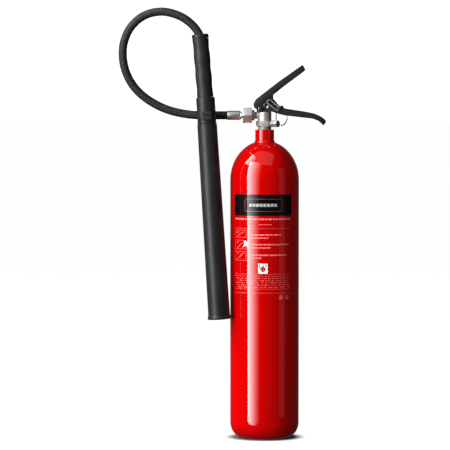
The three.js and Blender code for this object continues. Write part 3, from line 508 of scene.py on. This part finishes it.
def make_bottle():
    neck_share = NECK_RADIUS / BOTTLE_RADIUS
    shoulder = BOTTLE_HEIGHT - NECK_LENGTH - SHOULDER_RISE * math.sqrt(1 - neck_share ** 2)
    fillet_end = math.degrees(math.acos((NECK_RADIUS + NECK_FILLET * 0.6) / BOTTLE_RADIUS))
    bore_end = BOTTLE_HEIGHT - NECK_BORE_DEPTH
    profile = [(0, 0)]
    profile += arc((BOTTLE_RADIUS - BASE_CORNER[0], BASE_CORNER[1]), BASE_CORNER, -90, 0, 20)
    profile += [(BOTTLE_RADIUS, z) for z in (*WALL_HEIGHTS, shoulder - 0.01)]
    profile += arc((0, shoulder), (BOTTLE_RADIUS, SHOULDER_RISE), 0, fillet_end, 40)
    profile += arc((NECK_RADIUS + NECK_FILLET, BOTTLE_HEIGHT - NECK_LENGTH + NECK_FILLET * 1.5),
                   (NECK_FILLET, NECK_FILLET), 225, 180, 5)
    profile += arc((NECK_RADIUS - NECK_EDGE, BOTTLE_HEIGHT - NECK_EDGE), (NECK_EDGE, NECK_EDGE), 0, 90, 5)
    profile += [(NECK_BORE, BOTTLE_HEIGHT), (NECK_BORE, bore_end), (0, bore_end)]
    bottle = spin("bottle", profile, 192)
    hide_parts("cylinder_shell")
    mount(bottle, RED, "root")


make_bottle()


# ---------------------------------------------------------------- label

LABEL_CENTRE = math.radians(-5.2)
LABEL_HALF = math.radians(54.6)
SHEET_INNER = BOTTLE_RADIUS + 0.02 * MM
SHEET_OUTER = BOTTLE_RADIUS + 0.55 * MM
HALF_WIDTH = LABEL_HALF * SHEET_OUTER
INK_RISE = 0.05 * MM
INK_SINK = 0.02 * MM
INK_STRIP = 2.5 * MM                # flat marks are cut this narrow before they are bent
band_low, band_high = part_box("label_band")
sheet_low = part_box("label_sheet")[0]


def on_label(u, z, radius=SHEET_OUTER):
    """The point u metres along the label's surface from its middle, and z metres above the floor."""
    angle = LABEL_CENTRE + u / SHEET_OUTER
    return Vector((radius * math.sin(angle), -radius * math.cos(angle), z))


def curved_sheet(name, bottom, top, columns=48):
    """One closed curved sheet as wide as the label."""
    bm = bmesh.new()
    rows = []
    for i in range(columns + 1):
        u = -HALF_WIDTH + 2 * HALF_WIDTH * i / columns
        rows.append([bm.verts.new(on_label(u, z, radius)) for z, radius in (
            (bottom, SHEET_INNER), (bottom, SHEET_OUTER), (top, SHEET_OUTER), (top, SHEET_INNER))])
    for a, b in zip(rows, rows[1:]):
        for k in range(4):
            bm.faces.new((a[k], a[(k + 1) % 4], b[(k + 1) % 4], b[k]))
    bm.faces.new(rows[0])
    bm.faces.new(rows[-1][::-1])
    return finish_mesh(name, bm, 30)


def ink(name, outlines, material, lift=1.0):
    """Marks of one colour: flat outlines of (u, z) points, cut into strips that follow the bottle."""
    bm = bmesh.new()
    for outline in outlines:
        bm.faces.new([bm.verts.new((u, 0, z)) for u, z in outline])
    left = min(vert.co.x for vert in bm.verts)
    right = max(vert.co.x for vert in bm.verts)
    for i in range(1, math.ceil((right - left) / INK_STRIP)):
        everything = bm.verts[:] + bm.edges[:] + bm.faces[:]
        cut_at = (left + i * INK_STRIP, 0, 0)
        bmesh.ops.bisect_plane(bm, geom=everything, plane_co=cut_at, plane_no=(1, 0, 0))
    under = set(bm.verts)
    bmesh.ops.extrude_face_region(bm, geom=bm.faces[:], use_keep_orig=True)
    for vert in bm.verts:
        radius = SHEET_OUTER - INK_SINK if vert in under else SHEET_OUTER + INK_RISE * lift
        vert.co = on_label(vert.co.x, vert.co.z, radius)
    return mount(finish_mesh(name, bm, 30), material, "root")


def block(left, right, bottom, top):
    return [(left, bottom), (right, bottom), (right, top), (left, top)]


def outline_of(points, width):
    """A closed line of the given width along points, as one four-sided outline for each side."""
    sides = []
    for i, start in enumerate(points):
        a, b = Vector(start), Vector(points[(i + 1) % len(points)])
        along = (b - a).normalized() * width / 2
        across = Vector((-along.y, along.x))
        sides.append([tuple(p) for p in (a - along - across, b + along - across, b + along + across,
                                         a - along + across)])
    return sides


def stroke(start, end, width):
    return outline_of([start, end], width)[:1]


def round_points(u, z, radius, count=20):
    turns = [2 * math.pi * i / count for i in range(count)]
    return [(u + radius * math.cos(turn), z + radius * math.sin(turn)) for turn in turns]


def rounded_block(left, right, bottom, top, corner):
    points = []
    for u, z, start in ((right - corner, top - corner, 0), (left + corner, top - corner, 90),
                        (left + corner, bottom + corner, 180), (right - corner, bottom + corner, 270)):
        points += arc((u, z), (corner, corner), start, start + 90, 4)
    return points


def words(draw, left, right, z, height):
    """A printed line, as a row of short plain bars."""
    bars = []
    u = left
    while u < right - height:
        length = min(draw.uniform(1.2, 4.5) * height, right - u)
        bars.append(block(u, u + length, z - height / 2, z + height / 2))
        u += length + height * 0.55
    return bars


def new_tree(name, inputs):
    """A Geometry Nodes tree with named inputs, its input node and its output node."""
    tree = bpy.data.node_groups.new(name, "GeometryNodeTree")
    tree.interface.new_socket("Geometry", in_out="INPUT", socket_type="NodeSocketGeometry")
    for label, kind in inputs:
        tree.interface.new_socket(label, in_out="INPUT", socket_type="NodeSocket" + kind)
    tree.interface.new_socket("Geometry", in_out="OUTPUT", socket_type="NodeSocketGeometry")
    return tree, tree.nodes.new("NodeGroupInput"), tree.nodes.new("NodeGroupOutput")


def close_tree(tree, geometry, entry, leave):
    """Ends a tree with Realize Instances and Set Material."""
    real = tree.nodes.new("GeometryNodeRealizeInstances")
    coat = tree.nodes.new("GeometryNodeSetMaterial")
    tree.links.new(geometry, real.inputs["Geometry"])
    tree.links.new(real.outputs["Geometry"], coat.inputs["Geometry"])
    tree.links.new(entry.outputs["Material"], coat.inputs["Material"])
    tree.links.new(coat.outputs["Geometry"], leave.inputs["Geometry"])
    return real, coat


def grown(name, tree, values, place=Matrix.Identity(4)):
    """Runs a tree with the given inputs and keeps its result as a plain mesh."""
    piece = link(name, bpy.data.meshes.new(name))
    modifier = piece.modifiers.new("repeat", "NODES")
    modifier.node_group = tree
    for item in tree.interface.items_tree:
        if item.in_out == "INPUT" and item.name in values:
            modifier[item.identifier] = values[item.name]
    piece.data.update()
    freeze(piece)
    piece.data.transform(place)
    return piece


SHORTEST_BAR, LONGEST_BAR = 0.55, 0.96  # as shares of the room a bar has
ROW_SHIFT = 0.37                    # each row starts this share of a bar later than the one above


def text_block_tree():
    """Rows of plain bars with random lengths, wrapped round the bottle's front."""
    tree, entry, leave = new_tree("text_block", [
        ("Rows", "Int"), ("Words", "Int"), ("Width", "Float"), ("Row Pitch", "Float"),
        ("Bar Height", "Float"), ("Left", "Float"), ("Top", "Float"), ("Radius", "Float"),
        ("Rise", "Float"), ("Centre", "Float"), ("Seed", "Int"), ("Material", "Material"),
    ])
    get = entry.outputs
    new, join = tree.nodes.new, tree.links.new
    line = new("GeometryNodeMeshLine")
    join(math_node(tree, "MULTIPLY", get["Rows"], get["Words"]), line.inputs["Count"])
    index = new("GeometryNodeInputIndex").outputs["Index"]
    row = math_node(tree, "FLOOR", math_node(tree, "DIVIDE", index, get["Words"]))
    column = math_node(tree, "SUBTRACT", index, math_node(tree, "MULTIPLY", row, get["Words"]))
    pitch = math_node(tree, "DIVIDE", get["Width"], get["Words"])
    place = new("ShaderNodeCombineXYZ")
    shift = math_node(tree, "FRACT", math_node(tree, "MULTIPLY", row, ROW_SHIFT))
    shifted = math_node(tree, "ADD", math_node(tree, "ADD", column, 0.5), shift)
    across = math_node(tree, "MULTIPLY", shifted, pitch)
    down = math_node(tree, "MULTIPLY", row, get["Row Pitch"])
    join(math_node(tree, "ADD", get["Left"], across), place.inputs["X"])
    join(math_node(tree, "SUBTRACT", get["Top"], down), place.inputs["Z"])
    spot = new("GeometryNodeSetPosition")
    join(line.outputs["Mesh"], spot.inputs["Geometry"])
    join(place.outputs["Vector"], spot.inputs["Position"])
    bar = new("GeometryNodeMeshCube")
    size = new("ShaderNodeCombineXYZ")
    join(pitch, size.inputs["X"])
    join(get["Rise"], size.inputs["Y"])
    join(get["Bar Height"], size.inputs["Z"])
    join(size.outputs["Vector"], bar.inputs["Size"])
    chance = new("FunctionNodeRandomValue")
    chance.data_type = "FLOAT"
    floats = [socket for socket in chance.inputs if socket.type == "VALUE"]
    floats[0].default_value = SHORTEST_BAR
    floats[1].default_value = LONGEST_BAR
    join(get["Seed"], chance.inputs["Seed"])
    stretch = new("ShaderNodeCombineXYZ")
    stretch.inputs["Y"].default_value = 1.0
    stretch.inputs["Z"].default_value = 1.0
    join([socket for socket in chance.outputs if socket.type == "VALUE"][0], stretch.inputs["X"])
    many = new("GeometryNodeInstanceOnPoints")
    join(spot.outputs["Geometry"], many.inputs["Points"])
    join(bar.outputs["Mesh"], many.inputs["Instance"])
    join(stretch.outputs["Vector"], many.inputs["Scale"])
    real, coat = close_tree(tree, many.outputs["Instances"], entry, leave)
    at = new("ShaderNodeSeparateXYZ")
    join(new("GeometryNodeInputPosition").outputs["Position"], at.inputs["Vector"])
    turn = math_node(tree, "DIVIDE", at.outputs["X"], get["Radius"])
    angle = math_node(tree, "ADD", get["Centre"], turn)
    reach = math_node(tree, "SUBTRACT", get["Radius"], at.outputs["Y"])
    bent = new("ShaderNodeCombineXYZ")
    forward = math_node(tree, "MULTIPLY", reach, math_node(tree, "COSINE", angle))
    join(math_node(tree, "MULTIPLY", reach, math_node(tree, "SINE", angle)), bent.inputs["X"])
    join(math_node(tree, "MULTIPLY", forward, -1.0), bent.inputs["Y"])
    join(at.outputs["Z"], bent.inputs["Z"])
    wrap = new("GeometryNodeSetPosition")
    join(real.outputs["Geometry"], wrap.inputs["Geometry"])
    join(bent.outputs["Vector"], wrap.inputs["Position"])
    join(wrap.outputs["Geometry"], coat.inputs["Geometry"])
    return tree


def ring_stack_tree():
    """Equal rings one above the other, for a thread."""
    tree, entry, leave = new_tree("ring_stack", [
        ("Count", "Int"), ("Pitch", "Float"), ("Radius", "Float"), ("Wire", "Float"),
        ("Material", "Material"),
    ])
    get = entry.outputs
    new, join = tree.nodes.new, tree.links.new
    circle = new("GeometryNodeCurvePrimitiveCircle")
    section = new("GeometryNodeCurvePrimitiveCircle")
    circle.inputs["Resolution"].default_value = 72
    section.inputs["Resolution"].default_value = 10
    join(get["Radius"], circle.inputs["Radius"])
    join(get["Wire"], section.inputs["Radius"])
    solid = new("GeometryNodeCurveToMesh")
    join(circle.outputs["Curve"], solid.inputs["Curve"])
    join(section.outputs["Curve"], solid.inputs["Profile Curve"])
    line = new("GeometryNodeMeshLine")
    join(get["Count"], line.inputs["Count"])
    step = new("ShaderNodeCombineXYZ")
    join(get["Pitch"], step.inputs["Z"])
    join(step.outputs["Vector"], line.inputs["Offset"])
    many = new("GeometryNodeInstanceOnPoints")
    join(line.outputs["Mesh"], many.inputs["Points"])
    join(solid.outputs["Mesh"], many.inputs["Instance"])
    close_tree(tree, many.outputs["Instances"], entry, leave)
    return tree


TEXT_BLOCK = text_block_tree()
RING_STACK = ring_stack_tree()


def tidy_normals(piece):
    bm = bmesh.new()
    bm.from_mesh(piece.data)
    bmesh.ops.recalc_face_normals(bm, faces=bm.faces)
    bm.to_mesh(piece.data)
    bm.free()
    shade(piece.data, BEVELLED_SHARP_ANGLE)
    return piece


LABEL_EDGE = 3 * MM
PICTURE_LEFT, PICTURE_RIGHT = -61.5 * MM, -33 * MM
TEXT_LEFT = -21.4 * MM
LINE_HEIGHTS = (2.5 * MM, 2.2 * MM)
# Each instruction, in millimetres: where its two lines stop, and how far below the band are the
# middles of those lines and the top and bottom of its picture.
INSTRUCTIONS = [
    ((40, 13), (37.2, 43.3), (28.7, 42.5)),
    ((57, 19), (56.2, 62.5), (48.4, 65.3)),
    ((52, 1), (77.0, 82.7), (70.2, 88.0)),
]


# Outlines of two marks, in millimetres from their middles.
ARROW = [(-3, 7), (1.5, 7), (6.5, 1), (5, -6), (1.5, -1.5), (-6, -6.5), (-2, 0.5)]
DROP = [(0, -8), (5, -3.5), (5.6, 0), (4, 2.5), (1.6, 4),
        (1, 8), (-1.2, 5), (-4, 2.5), (-5.6, 0), (-5, -3.5)]


def make_label():
    draw = random.Random(7)
    band = curved_sheet("label_black_band", band_low.z, band_high.z)
    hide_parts("label_band")
    mount(band, BLACK_FILM, "root")
    sheet = curved_sheet("label_red_sheet", sheet_low.z, band_low.z)
    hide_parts("label_sheet")
    mount(sheet, RED_FILM, "root")

    left, right = -HALF_WIDTH + LABEL_EDGE, HALF_WIDTH - LABEL_EDGE
    top = band_low.z

    badge = (band_low.z + band_high.z) / 2
    border = rounded_block(-36 * MM, 41 * MM, badge - 12 * MM, badge + 12 * MM, 4 * MM)
    ink("badge_outline", outline_of(border, 0.7 * MM), RED_INK)
    bars = [block((-26 + 7.2 * i) * MM, (-20.2 + 7.2 * i) * MM, badge - 2.9 * MM, badge + 2.9 * MM)
            for i in range(8)]
    ink("badge_bars", bars, GREY_INK)

    text = words(draw, left, right, top - 6.3 * MM, 3.0 * MM)
    for stops, middles, _ in INSTRUCTIONS:
        for stop, middle, height in zip(stops, middles, LINE_HEIGHTS):
            text += words(draw, TEXT_LEFT, stop * MM, top - middle * MM, height)
    ink("label_text", text, PALE_INK)

    rules = words(draw, -7 * MM, 19 * MM, top - 17 * MM, 1.5 * MM)
    for drop in (24.7, 114.5, 143.6, 151.5):
        rules.append(block(left, right, top - (drop + 0.25) * MM, top - (drop - 0.25) * MM))
    ink("label_rules", rules, FAINT_INK)

    pictures = []
    for _, _, (high, low) in INSTRUCTIONS:
        bottom, ceiling = top - low * MM, top - high * MM
        middle = (bottom + ceiling) / 2
        pictures += outline_of(block(PICTURE_LEFT, PICTURE_RIGHT, bottom, ceiling), 0.6 * MM)
        elbow = (PICTURE_LEFT + 14 * MM, middle)
        pictures += stroke((PICTURE_LEFT + 6 * MM, bottom + 2 * MM), elbow, 1.2 * MM)
        pictures += stroke(elbow, (PICTURE_RIGHT - 5 * MM, ceiling - 3 * MM), 1.2 * MM)
        pictures.append(round_points(PICTURE_LEFT + 7 * MM, ceiling - 4 * MM, 1.8 * MM))
    ink("label_pictures", pictures, FAINT_INK)

    arrow = [(-35 * MM + u * MM, top - 56 * MM + z * MM) for u, z in ARROW]
    ink("label_arrow", [arrow], WHITE_INK)

    panel = (-7.2 * MM, 11.4 * MM, top - 113 * MM, top - 93.4 * MM)
    ink("drop_panel", [rounded_block(*panel, 1.2 * MM)], WHITE_INK)
    middle = ((panel[0] + panel[1]) / 2, (panel[2] + panel[3]) / 2)
    marks = [[(middle[0] + u * MM, middle[1] + z * MM) for u, z in DROP]]
    marks.append(block(panel[0] + 1.6 * MM, panel[0] + 4 * MM, middle[1] + 1 * MM, panel[3] - 1.5 * MM))
    marks.append(round_points(panel[1] - 3.4 * MM, panel[3] - 4 * MM, 1.7 * MM))
    ink("drop_marks", marks, RED_INK, 2.0)

    seals = []
    seal_height = top - 160.4 * MM
    for u, radius in ((38.7, 4.2), (53.2, 3.4)):
        seals += outline_of(round_points(u * MM, seal_height, radius * MM), 0.9 * MM)
        seals.append(round_points(u * MM, seal_height, (radius - 2.1) * MM, 12))
    ink("label_seals", seals, PALE_INK)

    small_text = grown("label_small_text", TEXT_BLOCK, {
        "Rows": 6, "Words": 15, "Width": (right - left) * 0.94, "Row Pitch": 4.3 * MM,
        "Bar Height": 1.3 * MM, "Left": left, "Top": top - 118.5 * MM, "Radius": SHEET_OUTER,
        "Rise": 2 * INK_RISE, "Centre": LABEL_CENTRE, "Seed": 11, "Material": FAINT_INK,
    })
    mount(tidy_normals(small_text), FAINT_INK, "root")


make_label()


# ---------------------------------------------------------------- horn, collar and grip

HORN_TILT = math.radians(3.6)
GRIP_TILT = math.radians(4.8)
HORN_MOUTH_RADIUS = 22.9 * MM
COLLAR_TOP = 438.0 * MM
GRIP_GAP = 0.3 * MM
SLEEVE_LENGTH = 116.5
WAVES, WAVE_STEPS = 3, 72


def horn_place():
    low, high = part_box("horn_tube")
    centre = Vector((high.x - HORN_MOUTH_RADIUS * math.cos(HORN_TILT), low.y + HORN_MOUTH_RADIUS,
                     low.z + HORN_MOUTH_RADIUS * math.sin(HORN_TILT)))
    return Matrix.Translation(centre) @ Matrix.Rotation(-HORN_TILT, 4, "Y")


HORN = horn_place()
GRIP = (HORN @ Matrix.Translation((0, 0, COLLAR_TOP + GRIP_GAP))
        @ Matrix.Rotation(HORN_TILT - GRIP_TILT, 4, "Y"))


def turned(name, node, place, corner, profile, material):
    """A turned piece of the horn, which stands for a CAD node; its sizes are in millimetres."""
    profile = [(radius * MM, height * MM) for radius, height in profile]
    piece = spin(name, round_corners(profile, corner * MM), 128, place)
    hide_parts(node)
    mount(piece, material, "hose_and_horn")


def make_horn():
    turned("horn_shell", "horn_tube", HORN, 0.8, [
        (19.5, 0), (22.9, 0), (22.9, 4.5), (21.5, 7.5), (19.3, 386), (16, 386), (16, 400.5),
        (14, 400.5), (14, 384), (17.3, 380),
    ], PLASTIC)
    turned("horn_collar_shell", "horn_collar", HORN, 1.8, [
        (16.3, 386.3), (18.5, 386.3), (18.5, 436), (17.5, 438), (6.9, 438), (6.9, 420.4),
        (11.3, 420.4), (11.3, 400.8), (16.3, 400.8),
    ], PLASTIC)
    waves = [(15.8 + 0.45 * math.cos(2 * WAVES * math.pi * i / WAVE_STEPS),
              SLEEVE_LENGTH * i / WAVE_STEPS - 0.3) for i in range(WAVE_STEPS + 1)]
    turned("grip_sleeve", "horn_grip", GRIP, 0.8, [(10.5, -0.3), *waves, (10.5, 116.2)],
           GRIP_RUBBER)
    turned("grip_cap", "grip_end_cap", GRIP, 0.9, [
        (9.4, 116.5), (16.5, 116.5), (16.5, 122.5), (14.5, 124.5), (12.9, 124.5),
    ], PLASTIC)


make_horn()


# ---------------------------------------------------------------- clip, valve, lever and small parts

# Each piece: its CAD node, the width of its rounded edges in millimetres, material, body and slot.
SMALL_PIECES = [
    ("clip_band", 0.15, PLASTIC, "hose_and_horn", "bright_steel"),
    ("clip_buckle", 0.7, CLIP_PLASTIC, "hose_and_horn", "black_plastic"),
    ("hose_clip", 0.7, CLIP_PLASTIC, "hose_and_horn", "black_plastic"),
    ("valve_body", 0.45, WARM_NICKEL, "root", "nickel_plate"),
    ("gland_nut", 0.3, NICKEL, "root", "nickel_plate"),
    ("relief_plug", 0.35, DARK_NICKEL, "root", "nickel_plate"),
    ("union_nut", 0.5, NICKEL, "root", "nickel_plate"),
    ("hose_ferrule", 0.4, NICKEL, "hose_and_horn", "nickel_plate"),
    ("hose_tail", 0.2, NICKEL, "hose_and_horn", "nickel_plate"),
    ("carry_handle", 0.7, POWDER, "root", "black_paint"),
    ("operating_lever", 0.7, POWDER, "operating_lever", "black_paint"),
    ("striker_pin", 0.3, DARK_STEEL, "operating_lever", "bright_steel"),
    ("pivot_rivet_front", 0.35, DARK_STEEL, "root", "bright_steel"),
    ("pivot_rivet_rear", 0.35, DARK_STEEL, "root", "bright_steel"),
    ("safety_pin", 0, STEEL, "safety_pin", "bright_steel"),
    ("valve_stem", 0.15, STEEL, "valve_stem", "bright_steel"),
    ("pull_ring", 0, STEEL, "pull_ring", "bright_steel"),
    ("tamper_seal", 0, NYLON, "root", "pale_nylon"),
]
for node, bevel, material, body, slot in SMALL_PIECES:
    rounder = {"segments": 3, "limit": 24} if material is POWDER else {}
    mount(refined(node, bevel * MM, **rounder), material, body)

neck_thread = grown("neck_thread", RING_STACK, {
    "Count": 4, "Pitch": 1.5 * MM, "Radius": 12.9 * MM, "Wire": 0.55 * MM, "Material": WARM_NICKEL,
}, Matrix.Translation((0, 0, BOTTLE_HEIGHT + 0.8 * MM)))
mount(tidy_normals(neck_thread), WARM_NICKEL, "root")

# Inner pieces that keep their CAD shape.
PLAIN = {
    "stem_o_ring": SEAL_RUBBER, "poppet_seal": SEAL_RUBBER, "outlet_washer": SEAL_RUBBER,
    "valve_poppet": BRASS, "spring_retainer": BRASS, "dip_tube_adapter": BRASS, "discharge_nozzle": BRASS,
    "stem_spring": STEEL, "dip_tube": STEEL, "burst_disc": STEEL, "horn_pipe": STEEL,
    "horn_end_ferrule": NICKEL,
}
for node, material in PLAIN.items():
    piece = frame["nodes"][node]
    piece.data.materials.clear()
    piece.data.materials.append(material)


# ---------------------------------------------------------------- stage and light

FLOOR_SIZE = 40
FLOOR_DROP = 0.0002
FLOOR_GLOW = 0.98
# Radii of the painted contact shadow: the floor's glow is darkened near the bottle's axis.
SHADOW_START, SHADOW_END = 0.058, 0.086  # radii between which the dark under the bottle fades
WORLD_SEEN, WORLD_LIGHT = 1.05, 0.03
WORLD_BEHIND = 0.1


def make_floor():
    bm = bmesh.new()
    bmesh.ops.create_grid(bm, x_segments=1, y_segments=1, size=FLOOR_SIZE)
    floor = finish_mesh("floor", bm)
    finish = Finish("pale_floor", (0.1, 0.1, 0.1), 0.7, specular=0.1)
    seen = finish.node("ShaderNodeLightPath").outputs["Is Camera Ray"]
    finish.join(finish.ramp(seen, 0.0, FLOOR_GLOW), finish.shader.inputs["Emission Strength"])
    # Painted shadow: the floor's emission colour goes from dark under the bottle to white further out.
    away = finish.node("ShaderNodeVectorMath", operation="LENGTH")
    finish.join(finish.coordinates(), away.inputs[0])
    pale = finish.node("ShaderNodeMapRange", interpolation_type="SMOOTHSTEP")
    pale.inputs["From Min"].default_value = SHADOW_START
    pale.inputs["From Max"].default_value = SHADOW_END
    finish.join(away.outputs["Value"], pale.inputs["Value"])
    finish.join(pale.outputs["Result"], finish.shader.inputs["Emission Color"])
    floor.data.materials.append(finish.material)
    floor.location.z = -FLOOR_DROP
    floor.visible_glossy = False
    floor.visible_shadow = False


def area_light(name, azimuth, distance, height, width, tall, power, aim=0.35):
    """A soft box turned to the height aim: azimuth 0 is in front, positive toward +X."""
    data = bpy.data.lights.new(name, "AREA")
    data.shape = "RECTANGLE"
    data.size = width
    data.size_y = tall
    data.energy = power
    light = bpy.data.objects.new(name, data)
    bpy.context.scene.collection.objects.link(light)
    turn = math.radians(azimuth)
    light.location = Vector((distance * math.sin(turn), -distance * math.cos(turn), height))
    light.rotation_euler = (Vector((0, 0, aim)) - light.location).to_track_quat("-Z", "Y").to_euler()
    return light


def fade(light, near, falloff):
    """Makes a soft box brightest at one side, and dims it toward the other."""
    light.data.use_nodes = True
    tree = light.data.node_tree
    across = tree.nodes.new("ShaderNodeSeparateXYZ")
    tree.links.new(tree.nodes.new("ShaderNodeNewGeometry").outputs["Parametric"], across.inputs["Vector"])
    toward = math_node(tree, "SUBTRACT", 1.0, across.outputs["X"])
    power = math_node(tree, "POWER", toward, falloff)
    tree.links.new(math_node(tree, "MULTIPLY", power, near), tree.nodes["Emission"].inputs["Strength"])


def make_world():
    world = bpy.data.worlds.new("studio")
    world.use_nodes = True
    tree = world.node_tree
    background = tree.nodes["Background"]
    background.inputs["Color"].default_value = (1, 1, 1, 1)
    ray = tree.nodes.new("ShaderNodeLightPath")
    mix = tree.nodes.new("ShaderNodeMapRange")
    mix.inputs["To Min"].default_value = WORLD_LIGHT
    mix.inputs["To Max"].default_value = WORLD_SEEN
    tree.links.new(ray.outputs["Is Camera Ray"], mix.inputs["Value"])
    # Behind the object the studio is pale, so that the edges of glossy pieces do not go black.
    behind = tree.nodes.new("ShaderNodeMapRange")
    behind.interpolation_type = "SMOOTHSTEP"
    for socket, value in (("From Min", 0.8), ("From Max", 1.0),
                          ("To Min", 0.0), ("To Max", WORLD_BEHIND)):
        behind.inputs[socket].default_value = value
    toward = tree.nodes.new("ShaderNodeSeparateXYZ")
    direction = tree.nodes.new("ShaderNodeTexCoord").outputs["Generated"]
    tree.links.new(direction, toward.inputs["Vector"])
    tree.links.new(toward.outputs["Y"], behind.inputs["Value"])
    total = math_node(tree, "ADD", mix.outputs["Result"], behind.outputs["Result"])
    tree.links.new(total, background.inputs["Strength"])
    bpy.context.scene.world = world


def make_light():
    fade(area_light("key", -37, 2.2, 1.0, 2.0, 2.8, 190), 2.1, 2.0)
    for light in (area_light("side", -98, 2.2, 1.2, 1.2, 1.6, 24),
                  area_light("right", 20, 2.4, 0.9, 1.2, 2.0, 15)):
        light.visible_glossy = False
    area_light("fill", 59, 2.4, 0.7, 0.9, 2.0, 1.1)
    area_light("top", -10, 1.2, 2.9, 3.0, 2.2, 13, aim=0.5)
    fade(area_light("upper_left", -76, 1.5, 2.1, 1.5, 1.0, 60, aim=0.55), 2.2, 1.2)
    bpy.context.scene.view_settings.view_transform = "Standard"


make_floor()
make_world()
make_light()
